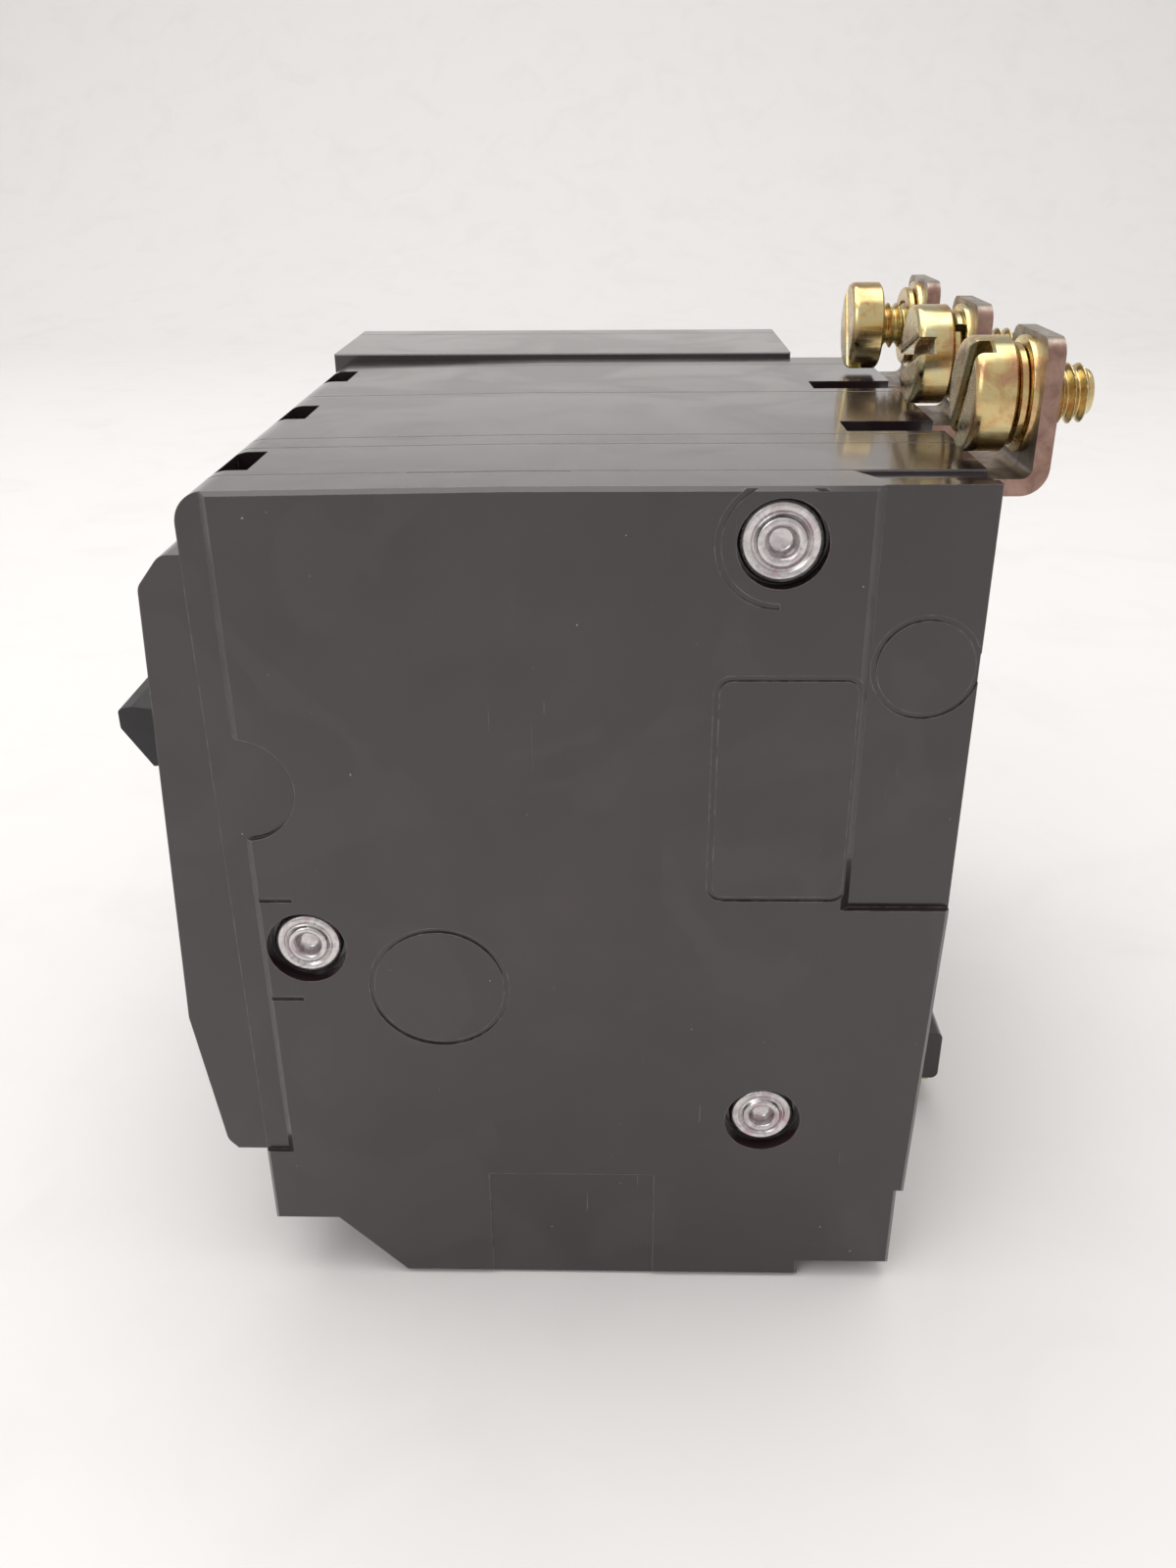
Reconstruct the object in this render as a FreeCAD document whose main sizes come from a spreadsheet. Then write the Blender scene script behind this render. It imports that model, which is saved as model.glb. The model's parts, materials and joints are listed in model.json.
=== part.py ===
"""Three-pole moulded-case circuit breaker with a ground-fault module, stood on its load end.

Frame: +Z from the load end to the line end, -Y towards the handle, +Y towards the mounting rear, +X towards the
near cover. The origin is the centre of the width on the flat of the load end. Millimetres.
"""
import FreeCAD, Part
import math
import os
import re

import Sketcher

doc = FreeCAD.newDocument("breaker")

# ---------------------------------------------------------------- driving dimensions
SIZES = {
    # moulded stack, along X
    "pole_pitch": 19.05,
    "near_cover_depth": 4.9,
    "partition_rise": 5.15,
    "partition_back": 1.75,
    "case_lap": 1.8,
    "end_cover_depth": 4.55,
    "module_cover_depth": 3.5,
    "wall": 2.3,
    "floor_wall": 2.1,
    # side outline, Y ahead or behind and Z above the load end
    "front_face": 27.8,
    "rear_face": 27.8,
    "crown": 71.0,
    "crown_fall": 0.3,
    "crown_break": 20.0,
    "shoulder": 2.3,
    "ledge_height": 37.5,
    "skirt_set": 1.3,
    "skirt_step": 0.6,
    "skirt_height": 9.8,
    "heel_start": 18.5,
    "heel_rise": 1.5,
    "toe_height": 6.1,
    "toe_start": 22.3,
    "sole_start": 16.6,
    "corner_round": 1.2,
    # bezel round the handle
    "bezel_reach": 4.9,
    "bezel_lean": 1.6,
    "bezel_drop": 4.7,
    "bezel_knee": 27.5,
    "bezel_bottom": 13.8,
    "bezel_side_set": 0.5,
    "bezel_shoulder": 2.3,
    # handle
    "pivot_set": 1.9,
    "pivot_height": 48.4,
    "drum_radius": 5.45,
    "well_gap": 0.4,
    "paddle_root": 3.2,
    "paddle_tip": 2.2,
    "paddle_rise": 1.5,
    "paddle_swell": 0.2,
    "paddle_reach": 11.9,
    "paddle_end_gap": 0.5,
    "journal_radius": 1.6,
    "journal_gap": 0.05,
    "journal_length": 1.8,
    # rivets
    "rivet_radius": 2.2,
    "rivet_gap": 0.1,
    "rivet_bore": 1.15,
    "rivet_bore_depth": 6.0,
    "rivet_boss": 3.6,
    "rivet_rib": 2.0,
    "rivet_sink": 1.3,
    "rivet_sink_radius": 3.15,
    "rivet_top_back": 13.4,
    "rivet_top_drop": 3.9,
    "rivet_front_set": 5.6,
    "rivet_front_height": 34.6,
    "rivet_low_back": 14.5,
    "rivet_low_height": 17.7,
    "rivet_head_a": 3.0,
    "rivet_head_b": 2.7,
    "rivet_head_thick": 0.9,
    "rivet_head_edge": 0.5,
    # line end: straps, screws, slots
    "strap_width": 9.0,
    "strap_thick": 1.2,
    "strap_gap": 0.12,
    "strap_sink": 1.9,
    "strap_back": 4.3,
    "strap_rise": 8.6,
    "strap_bend": 1.9,
    "strap_clip": 1.4,
    "strap_leg_set": 6.6,
    "strap_leg_foot": 15.0,
    "screw_rise": 4.3,
    "screw_radius": 2.08,
    "screw_gap": 0.05,
    "screw_neck": 1.85,
    "thread_set": 0.15,
    "screw_end": 7.6,
    "screw_end_chamfer": 0.5,
    "head_radius": 3.95,
    "head_length": 2.9,
    "head_chamfer": 0.7,
    "head_slot": 1.3,
    "head_slot_depth": 1.2,
    "lock_radius": 3.75,
    "lock_thick": 0.9,
    "lock_split": 0.8,
    "flat_radius": 4.0,
    "flat_thick": 0.5,
    "loose_pull": 2.2,
    "vent_width": 6.2,
    "vent_long": 2.4,
    "vent_set": 1.3,
    "vent_depth": 6.0,
    "barrier_width": 4.1,
    "barrier_side": 0.75,
    "barrier_far_side": 0.1875,
    "barrier_start": 7.6,
    "barrier_depth": 12.0,
    # side marks on the near cover
    "rear_strip": 7.7,
    "rear_strip_foot": 38.3,
    "rear_strip_sink": 0.6,
    "rear_strip_slope": 0.7,
    "front_strip": 1.9,
    "front_strip_sink": 0.4,
    "front_strip_slope": 0.5,
    "boss_radius": 4.2,
    "line_width": 0.4,
    "line_sink": 0.18,
    "plug_circle_radius": 5.4,
    "plug_circle_set": 15.9,
    "plug_circle_height": 30.9,
    "stamp_radius": 3.7,
    "stamp_set": 3.75,
    "stamp_height": 58.0,
    "panel_back_set": 8.0,
    "panel_length": 10.7,
    "panel_foot": 39.1,
    "panel_head": 57.6,
    "panel_round": 1.3,
    "crescent_radius": 4.4,
    "bar_mark_length": 3.0,
    "bar_mark_low": 29.6,
    "bar_mark_high": 38.8,
    "lug_mark_front": 8.7,
    "lug_mark_back": 5.5,
    "lug_mark_height": 11.6,
    "lip_set": 1.8,
    "lip_start": 7.5,
    "lip_taper": 1.9,
    "lip_depth": 0.3,
    "seam_gap": 0.3,
    "seam_gap_start": 12.5,
    "seam_gap_end": 1.0,
    "seam_gap_depth": 1.2,
    "seam_bevel": 0.12,
    "outer_bevel": 0.3,
    # mechanism inside each pole
    "inner_half": 4.2,
    "arm_pivot_set": 19.8,
    "arm_pivot_height": 38.0,
    "arm_length": 24.0,
    "arm_lean": 6.0,
    "arm_thick": 1.8,
    "arm_width": 5.0,
    "pin_radius": 1.3,
    "post_radius": 2.0,
    "post_gap": 0.2,
    "hook_post_radius": 1.2,
    "lever_pin_radius": 1.0,
    "chute_back": 4.0,
    "chute_plates": 5,
    "chute_plate": 0.8,
    "chute_step": 2.6,
    "chute_drop": 4.8,
    "chute_height": 9.2,
    "lever_pivot_set": 14.5,
    "lever_pivot_height": 42.0,
    "lever_fall": 8.0,
    "lever_run": 8.5,
    "lever_depth": 3.0,
    "lever_thick": 1.5,
    "bimetal_set": 22.8,
    "bimetal_thick": 0.9,
    "bimetal_width": 6.0,
    "bimetal_top": 34.0,
    "yoke_gap": 0.5,
    "yoke_depth": 3.4,
    "yoke_foot": 18.0,
    "yoke_head": 28.0,
    "yoke_cheek": 1.4,
    "spring_radius": 1.4,
    "spring_bore": 0.8,
    "spring_height": 49.5,
    "spring_front": 13.0,
    "spring_length": 14.0,
    # trip bar
    "bar_set": 21.8,
    "bar_height": 24.0,
    "bar_radius": 2.0,
    "bar_gap": 0.05,
    "bar_clear": 0.5,
    "finger_width": 3.0,
    "finger_thick": 2.0,
    "finger_top": 31.5,
    "bar_bearing": 1.2,
    "bar_past_finger": 0.925,
    # load lugs
    "lug_width": 9.4,
    "lug_length": 12.4,
    "lug_height": 9.0,
    "lug_centre": -1.6,
    "lug_floor": 2.3,
    "lug_gap": 0.15,
    "wire_radius": 3.5,
    "wire_back": 1.2,
    "lug_screw_radius": 2.5,
    "lug_screw_length": 8.2,
    "lug_screw_height": 6.8,
    "lug_screw_bite": 0.6,
    "lug_socket": 1.25,
    "lug_socket_depth": 3.0,
    "access_radius": 3.1,
    "wire_window": 3.7,
    # rear foot
    "foot_width": 9.0,
    "foot_reach": 9.4,
    "foot_low": 3.0,
    "foot_thick": 2.2,
    "foot_hook": 8.8,
    "foot_hook_thick": 2.0,
    "clip_thick": 0.8,
    # ground-fault module
    "module_crown": 71.5,
    "module_back_set": 7.5,
    "module_back_drop": 13.0,
    "board_thick": 1.5,
    "board_gap": 0.8,
    "board_front": 15.0,
    "board_back": 9.0,
    "board_foot": 34.0,
    "board_head": 63.0,
    "ring_outer": 8.0,
    "ring_inner": 4.5,
    "ring_width": 6.5,
    "ring_height": 50.0,
    "ring_front": 3.0,
    "coil_radius": 3.4,
    "coil_length": 11.0,
    "coil_front": 1.0,
    "plunger_radius": 1.2,
    "plunger_gap": 0.1,
    "plunger_height": 29.8,
    "plunger_start": 0.9,
    "plunger_length": 13.0,
    "button_side": 5.6,
    "button_gap": 0.3,
    "button_height": 58.0,
    "button_proud": 0.8,
    "button_length": 7.0,
    "button_flange": 1.2,
    "button_spring_radius": 2.0,
    "button_spring_bore": 1.3,
    "button_spring_length": 4.0,
}

sheet = doc.addObject("Spreadsheet::Sheet", "sizes")
for row, (alias, size) in enumerate(SIZES.items(), start=1):
    sheet.set(f"A{row}", alias)
    sheet.set(f"B{row}", str(size))
    sheet.setAlias(f"B{row}", alias)
doc.recompute()


def bound(text):
    """The expression with each driving dimension looked up in the sheet."""
    return re.sub(r"[a-z]\w*", lambda word: "sizes." + word.group(0) if word.group(0) in SIZES else word.group(0), text)


def value(text):
    """What an expression comes to at the sheet's present sizes."""
    return float(sheet.evalExpression(bound(text)))


# ---------------------------------------------------------------- places that several pieces share
POLE_CENTRES = ["1.5 * pole_pitch", "0.5 * pole_pitch", "-0.5 * pole_pitch"]
MODULE_CENTRE = "-1.5 * pole_pitch"
NEAR_FACE = "2 * pole_pitch"
COVER_SEAM = "2 * pole_pitch - near_cover_depth"
PARTITION_NEAR = "pole_pitch + partition_rise"
PARTITION_FAR = "pole_pitch + partition_back"
CASE_SEAM = "case_lap"
END_SEAM = "-pole_pitch + end_cover_depth"
MODULE_SEAM = "-pole_pitch"
MODULE_COVER_SEAM = "-2 * pole_pitch + module_cover_depth"
FAR_FACE = "-2 * pole_pitch"
PIVOT = ("-front_face + pivot_set", "pivot_height")
BAR = ("-front_face + bar_set", "bar_height")
RIVETS = [
    ("rivet_top_back", "crown - rivet_top_drop"),
    ("-front_face + rivet_front_set", "rivet_front_height"),
    ("rivet_low_back", "rivet_low_height"),
]
BEZEL_TOP = "crown - bezel_drop"
STRAP_LEVEL = "crown - strap_sink"
STRAP_REAR = "rear_face + strap_back"
STRAP_TOP = "crown + strap_rise"
SCREW_HEIGHT = "crown + screw_rise"
LEG_FACE = "rear_face - strap_leg_set"
ARM_PIVOT = ("rear_face - arm_pivot_set", "arm_pivot_height")
LEVER_PIVOT = ("-lever_pivot_set", "lever_pivot_height")
SPRING_HOOK = ("-spring_front - hook_post_radius", "spring_height")
HANDLE_NEAR = "1.5 * pole_pitch"
HANDLE_FAR = "-0.5 * pole_pitch"


# ---------------------------------------------------------------- sketching and features
def new_body(name):
    """An empty body whose label is the sub-part's name."""
    body = doc.addObject("PartDesign::Body", name)
    body.Label = name
    return body


def sketch_on(body, role, offset):
    """A sketch on one of the body's own origin planes, moved along the plane's normal."""
    plane = [feature for feature in body.Origin.OriginFeatures if feature.Role == role][0]
    sketch = body.newObject("Sketcher::SketchObject", body.Name + "_sketch")
    sketch.AttachmentSupport = [(plane, "")]
    sketch.MapMode = "FlatFace"
    sketch.setExpression("AttachmentOffset.Base.z", bound(offset))
    return sketch


def pin_point(sketch, geometry, point, across, up):
    """Fix a point of the sketch by its two coordinates, each bound to an expression."""
    for kind, text in (("DistanceX", across), ("DistanceY", up)):
        size = value(text)
        if size < 0:
            index = sketch.addConstraint(Sketcher.Constraint(kind, geometry, point, -1, 1, -size))
            sketch.setExpression(f"Constraints[{index}]", bound(f"-({text})"))
        else:
            index = sketch.addConstraint(Sketcher.Constraint(kind, -1, 1, geometry, point, size))
            sketch.setExpression(f"Constraints[{index}]", bound(text))


def draw_outline(sketch, corners):
    """A closed outline of straight edges through the corners."""
    points = [FreeCAD.Vector(value(across), value(up), 0) for across, up in corners]
    first = sketch.GeometryCount
    count = len(points)
    sketch.addGeometry([Part.LineSegment(points[i], points[(i + 1) % count]) for i in range(count)], False)
    for i in range(count):
        following = first + (i + 1) % count
        sketch.addConstraint(Sketcher.Constraint("Coincident", first + i, 2, following, 1))
    for i, (across, up) in enumerate(corners):
        pin_point(sketch, first + i, 1, across, up)


def draw_circle(sketch, centre, radius):
    """A circle whose centre and radius are bound to expressions."""
    middle = FreeCAD.Vector(value(centre[0]), value(centre[1]), 0)
    index = sketch.addGeometry(Part.Circle(middle, FreeCAD.Vector(0, 0, 1), value(radius)), False)
    pin_point(sketch, index, 3, centre[0], centre[1])
    radial = sketch.addConstraint(Sketcher.Constraint("Radius", index, value(radius)))
    sketch.setExpression(f"Constraints[{radial}]", bound(radius))


def draw(sketch, shape):
    """An outline for a list of corners, a circle for (centre, radius), or a rounded rectangle for five sizes."""
    if isinstance(shape, tuple) and len(shape) == 5:
        draw_rounded(sketch, *shape)
    elif isinstance(shape, tuple):
        draw_circle(sketch, shape[0], shape[1])
    else:
        draw_outline(sketch, shape)


def rectangle(low_across, high_across, low_up, high_up):
    """The four corners of a rectangle."""
    return [(low_across, low_up), (high_across, low_up), (high_across, high_up), (low_across, high_up)]


def extrude(body, kind, role, shapes, start, end):
    """Add ("Pad") or take away ("Pocket") the shapes between two offsets along the plane's normal."""
    at = start if kind == "Pad" else end
    sketch = sketch_on(body, role, at)
    for shape in shapes:
        draw(sketch, shape)
    feature = body.newObject("PartDesign::" + kind, f"{body.Name}_{kind.lower()}")
    feature.Profile = sketch
    feature.setExpression("Length", bound(f"({end}) - ({start})"))
    return feature


def add_x(body, shapes, start, end):
    """Material between two places along X, from shapes given in Y and Z."""
    return extrude(body, "Pad", "YZ_Plane", shapes, start, end)


def cut_x(body, shapes, start, end):
    """A cut between two places along X, from shapes given in Y and Z."""
    return extrude(body, "Pocket", "YZ_Plane", shapes, start, end)


def cut_z(body, shapes, start, end):
    """A cut between two heights, from shapes given in X and Y."""
    return extrude(body, "Pocket", "XY_Plane", shapes, start, end)


def cut_y(body, shapes, start, end):
    """A cut between two places along Y, from shapes given in X and Z."""
    return extrude(body, "Pocket", "XZ_Plane", shapes, f"-({end})", f"-({start})")


def add_y(body, shapes, start, end):
    """Material between two places along Y, from shapes given in X and Z."""
    return extrude(body, "Pad", "XZ_Plane", shapes, f"-({end})", f"-({start})")


def draw_rounded(sketch, low_across, high_across, low_up, high_up, radius):
    """A rectangle with round corners, as four lines and four tangent arcs."""
    left, right, low, high, round_ = (value(text) for text in (low_across, high_across, low_up, high_up, radius))
    ends = [
        ((f"{low_across} + {radius}", low_up), (f"{high_across} - {radius}", low_up)),
        ((high_across, f"{low_up} + {radius}"), (high_across, f"{high_up} - {radius}")),
        ((f"{high_across} - {radius}", high_up), (f"{low_across} + {radius}", high_up)),
        ((low_across, f"{high_up} - {radius}"), (low_across, f"{low_up} + {radius}")),
    ]
    middles = [(right - round_, low + round_), (right - round_, high - round_), (left + round_, high - round_),
               (left + round_, low + round_)]
    first = sketch.GeometryCount
    for start, end in ends:
        points = [FreeCAD.Vector(value(across), value(up), 0) for across, up in (start, end)]
        sketch.addGeometry(Part.LineSegment(*points), False)
    for quarter, (across, up) in enumerate(middles):
        circle = Part.Circle(FreeCAD.Vector(across, up, 0), FreeCAD.Vector(0, 0, 1), round_)
        begin = (quarter - 1) * math.pi / 2
        sketch.addGeometry(Part.ArcOfCircle(circle, begin, begin + math.pi / 2), False)
    for side, (start, end) in enumerate(ends):
        pin_point(sketch, first + side, 1, *start)
        pin_point(sketch, first + side, 2, *end)
    for quarter in range(4):
        arc = first + 4 + quarter
        sketch.addConstraint(Sketcher.Constraint("Coincident", arc, 1, first + quarter, 2))
        sketch.addConstraint(Sketcher.Constraint("Coincident", arc, 2, first + (quarter + 1) % 4, 1))
        radial = sketch.addConstraint(Sketcher.Constraint("Radius", arc, round_))
        sketch.setExpression(f"Constraints[{radial}]", bound(radius))


def bevel_rim(body, place_x, size):
    """A small chamfer round the outline of the slice's face at one place along X."""
    doc.recompute()
    base = body.Tip
    face_x = value(place_x)
    names = []
    for index, edge in enumerate(base.Shape.Edges, start=1):
        box = edge.BoundBox
        if abs(box.XMin - face_x) < 0.001 and abs(box.XMax - face_x) < 0.001:
            names.append(f"Edge{index}")
    feature = body.newObject("PartDesign::Chamfer", body.Name + "_rim")
    feature.Base = (base, names)
    feature.setExpression("Size", bound(size))
    body.Tip = feature
    return feature


def edges_at(shape, along, places):
    """Names of the edges that run along an axis (0 X, 1 Y, 2 Z) through the given places in the other two."""
    across = [axis for axis in range(3) if axis != along]
    names = []
    for index, edge in enumerate(shape.Edges, start=1):
        box = edge.BoundBox
        low = (box.XMin, box.YMin, box.ZMin)
        high = (box.XMax, box.YMax, box.ZMax)
        if high[along] - low[along] < 0.05 or max(high[axis] - low[axis] for axis in across) > 0.001:
            continue
        for place in places:
            if all(abs(low[axis] - place[k]) < 0.01 for k, axis in enumerate(across)):
                names.append(f"Edge{index}")
    return names


def soften(body, kind, along, corners, size):
    """Fillet or chamfer the edges that run along an axis through the given corners."""
    doc.recompute()
    places = [(value(first), value(second)) for first, second in corners]
    base = body.Tip
    names = edges_at(base.Shape, along, places)
    feature = body.newObject("PartDesign::" + kind, f"{body.Name}_{kind.lower()}")
    feature.Base = (base, names)
    feature.setExpression("Radius" if kind == "Fillet" else "Size", bound(size))
    body.Tip = feature
    return feature


def turned(body, corners):
    """A solid of revolution about the body's Y axis, from corners given as radius and Y."""
    sketch = sketch_on(body, "XY_Plane", "0")
    draw_outline(sketch, corners)
    feature = body.newObject("PartDesign::Revolution", body.Name + "_turned")
    feature.Profile = sketch
    feature.ReferenceAxis = (sketch, ["V_Axis"])
    feature.Angle = 360.0
    return feature


def place(body, across, along, up):
    """Put the body's own origin at a place of the frame."""
    for axis, text in (("x", across), ("y", along), ("z", up)):
        body.setExpression("Placement.Base." + axis, bound(text))


# ---------------------------------------------------------------- outlines in Y and Z
SKIRT = "rear_face - skirt_set"
BODY_OUTLINE = [
    ("-sole_start", "0"),
    ("heel_start", "0"),
    ("heel_start", "heel_rise"),
    (SKIRT, "heel_rise"),
    (SKIRT, "skirt_height"),
    ("rear_face - skirt_set + skirt_step", "skirt_height"),
    ("rear_face", "ledge_height"),
    ("rear_face", "crown"),
    ("-front_face + shoulder + crown_break", "crown"),
    ("-front_face", "crown - crown_fall"),
    ("-front_face", "toe_height"),
    ("-toe_start", "toe_height"),
]
MODULE_OUTLINE = BODY_OUTLINE[:6] + [
    ("rear_face", "ledge_height"),
    ("rear_face", "module_crown - module_back_drop"),
    ("rear_face - module_back_set", "module_crown - module_back_drop"),
    ("rear_face - module_back_set", "module_crown"),
    ("-front_face", "module_crown"),
    ("-front_face", "toe_height"),
    ("-toe_start", "toe_height"),
]
BEZEL_OUTLINE = [
    ("-front_face", BEZEL_TOP),
    ("-front_face - bezel_reach + bezel_lean + 0.8 * bezel_shoulder", BEZEL_TOP),
    ("-front_face - bezel_reach + bezel_lean", f"{BEZEL_TOP} - bezel_shoulder"),
    ("-front_face - bezel_reach", "bezel_knee"),
    ("-front_face - bezel_reach + bezel_lean", "bezel_bottom + 0.4 * bezel_shoulder"),
    ("-front_face - bezel_reach + 1.5 * bezel_lean", "bezel_bottom"),
    ("-front_face", "bezel_bottom"),
]
CAVITY = [
    ("-front_face + wall", "skirt_height"),
    ("-toe_start + wall", "toe_height + wall"),
    ("-sole_start + wall / 2", "lug_floor"),
    ("heel_start - wall / 2", "lug_floor"),
    ("heel_start - wall / 2", "heel_rise + wall"),
    ("rear_face - skirt_set - wall", "heel_rise + wall"),
    ("rear_face - skirt_set - wall", "crown - barrier_depth - wall"),
    ("rear_face - barrier_start - wall", "crown - barrier_depth - wall"),
    ("rear_face - barrier_start - wall", "crown - wall"),
    ("-front_face + wall", "crown - crown_fall - shoulder - wall"),
]
STRAP_BAY = rectangle("rear_face - barrier_start - wall", "rear_face - wall",
                      "crown - barrier_depth - wall", "crown - strap_sink - strap_thick")


def add_bosses(body, start, end):
    """Round columns that the rivets pass through, the lowest one on a rib from the sole."""
    add_x(body, [(spot, "rivet_boss") for spot in RIVETS], start, end)
    rib = rectangle("rivet_low_back - rivet_rib / 2", "rivet_low_back + rivet_rib / 2", "lug_floor / 2",
                    "rivet_low_height - rivet_radius - rivet_gap")
    add_x(body, [rib], start, end)


def add_posts(body, base, centre, side):
    """Posts from a floor to the arm's and the lever's pins, and the longer one the spring hooks on.

    side is 1 where the pole lies to the +X of its floor and -1 where it lies to the -X.
    """
    stop = f"{centre} - {side} * (inner_half + post_gap)"
    hook = f"{centre} + {side} * spring_radius"
    pins = [(ARM_PIVOT, "post_radius"), (LEVER_PIVOT, "post_radius")]
    hooks = [(SPRING_HOOK, "hook_post_radius")]
    if side > 0:
        add_x(body, pins, base, stop)
        add_x(body, hooks, base, hook)
    else:
        add_x(body, pins, stop, base)
        add_x(body, hooks, hook, base)


def drill_rivets(body, start, end):
    """The rivets' clearance holes."""
    cut_x(body, [(spot, "rivet_radius + rivet_gap") for spot in RIVETS], start, end)


def handle_well(body, start, end):
    """The round well of the handle's drum with its mouth through the bezel."""
    mouth = rectangle("-front_face - bezel_reach - wall", PIVOT[0],
                      "pivot_height - drum_radius - well_gap / 2", "pivot_height + drum_radius + well_gap / 2")
    cut_x(body, [mouth], start, end)
    cut_x(body, [(PIVOT, "drum_radius + well_gap")], start, end)


def strap_slot(body, centre, start, end):
    """The strap's way under the top and out at the rear, the slot for its leg and the bay for the leg.

    The slot is as wide as the strap, and a slice of the stack takes only its own share of it.
    """
    half = "(strap_width / 2 + strap_gap)"
    low = max(start, f"{centre} - {half}", key=value)
    high = min(end, f"{centre} + {half}", key=value)
    if value(high) <= value(low):
        return
    way = rectangle(f"{LEG_FACE} - strap_gap", "rear_face + wall",
                    f"{STRAP_LEVEL} - strap_gap", f"{STRAP_LEVEL} + strap_thick + strap_gap")
    drop = rectangle(f"{LEG_FACE} - strap_gap", f"{LEG_FACE} + strap_thick + strap_gap",
                     "crown - 3 * wall", STRAP_LEVEL)
    cut_x(body, [way], low, high)
    cut_x(body, [drop], low, high)
    cut_x(body, [STRAP_BAY], low, high)


def vent_slot(body, start, end):
    """One vent in the top edge near the handle."""
    opening = rectangle("-front_face + vent_set", "-front_face + vent_set + vent_long",
                        "crown - vent_depth", "crown + wall")
    cut_x(body, [opening], start, end)


def load_ways(body, centre, floor_x, top_x):
    """The way of the wire up through the sole and the way of the driver in from the front."""
    window = rectangle("lug_centre + wire_back - wire_window", "lug_centre + wire_back + wire_window", "-wall", "wall * 2")
    cut_x(body, [window], floor_x, top_x)
    cut_y(body, [((centre, "lug_screw_height"), "access_radius")], "-front_face - wall", "lug_centre - lug_length / 2")


def barrier_slot(body, start):
    """The deep slot at the line end between two straps, open to the rear."""
    slot = rectangle("rear_face - barrier_start", "rear_face + wall", "crown - barrier_depth", "crown + wall")
    cut_x(body, [slot], start, f"{start} + barrier_width")


# ---------------------------------------------------------------- moulded shells
def shell(name, start, end, outline, side_set="0"):
    """A slice of the moulded stack with its share of the bezel."""
    body = new_body(name)
    add_x(body, [outline], start, end)
    add_x(body, [BEZEL_OUTLINE], start, f"{end} - {side_set}")
    if outline is BODY_OUTLINE:
        soften(body, "Fillet", 0, [("-front_face", "crown - crown_fall")], "shoulder")
    soften(body, "Fillet", 0, [BEZEL_OUTLINE[1], BEZEL_OUTLINE[2], BEZEL_OUTLINE[4]], "corner_round")
    bevel_rim(body, start, "outer_bevel" if start == FAR_FACE else "seam_bevel")
    bevel_rim(body, end, "outer_bevel" if end == NEAR_FACE else "seam_bevel")
    return body


def ring_groove(body, centre, radius, depth_face):
    """A thin ring cut into a side face."""
    ring = [(centre, f"{radius} + line_width / 2"), (centre, f"{radius} - line_width / 2")]
    cut_x(body, ring, f"{depth_face} - line_sink", depth_face)


def side_strip(body, edge, slope, beyond, sink, foot):
    """A sunk strip of the outer side up to the top, with a sloped step along its inner edge."""
    section = [(f"{NEAR_FACE} + wall", f"{edge} + {slope}"), (NEAR_FACE, f"{edge} + {slope}"),
               (f"{NEAR_FACE} - {sink}", edge), (f"{NEAR_FACE} - {sink}", beyond), (f"{NEAR_FACE} + wall", beyond)]
    cut_z(body, [section], foot, "crown + wall")


def side_marks(body):
    """The shallow moulded marks of the outer side: rings, a panel outline, bars and the lug outline."""
    ring_groove(body, ("-front_face + plug_circle_set", "plug_circle_height"), "plug_circle_radius", NEAR_FACE)
    rear = "rear_face - panel_back_set"
    front = f"{rear} - panel_length"
    panel = [(front, rear, "panel_foot", "panel_head", "panel_round"),
             (f"{front} + line_width", f"{rear} - line_width", "panel_foot + line_width",
              "panel_head - line_width", "(panel_round - line_width)")]
    cut_x(body, panel, f"{NEAR_FACE} - line_sink", NEAR_FACE)
    for height in ("bar_mark_low", "bar_mark_high"):
        bar = rectangle("-front_face + front_strip + line_width", "-front_face + front_strip + bar_mark_length",
                        height, f"{height} + line_width")
        cut_x(body, [bar], f"{NEAR_FACE} - line_sink", NEAR_FACE)
    lug = rectangle("-lug_mark_front", "lug_mark_back", "-wall", "lug_mark_height")
    cut_x(body, [lug], f"{NEAR_FACE} - line_sink", NEAR_FACE)


def crescent(body):
    """A half ring on the front side of the upper rivet: a whole ring, then its rear half filled again."""
    ring_groove(body, RIVETS[0], "crescent_radius", NEAR_FACE)
    fill = rectangle("rivet_top_back", "rivet_top_back + crescent_radius + line_width",
                     "crown - rivet_top_drop - crescent_radius - line_width", "crown - outer_bevel")
    add_x(body, [fill], f"{NEAR_FACE} - wall / 2", NEAR_FACE)


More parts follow.
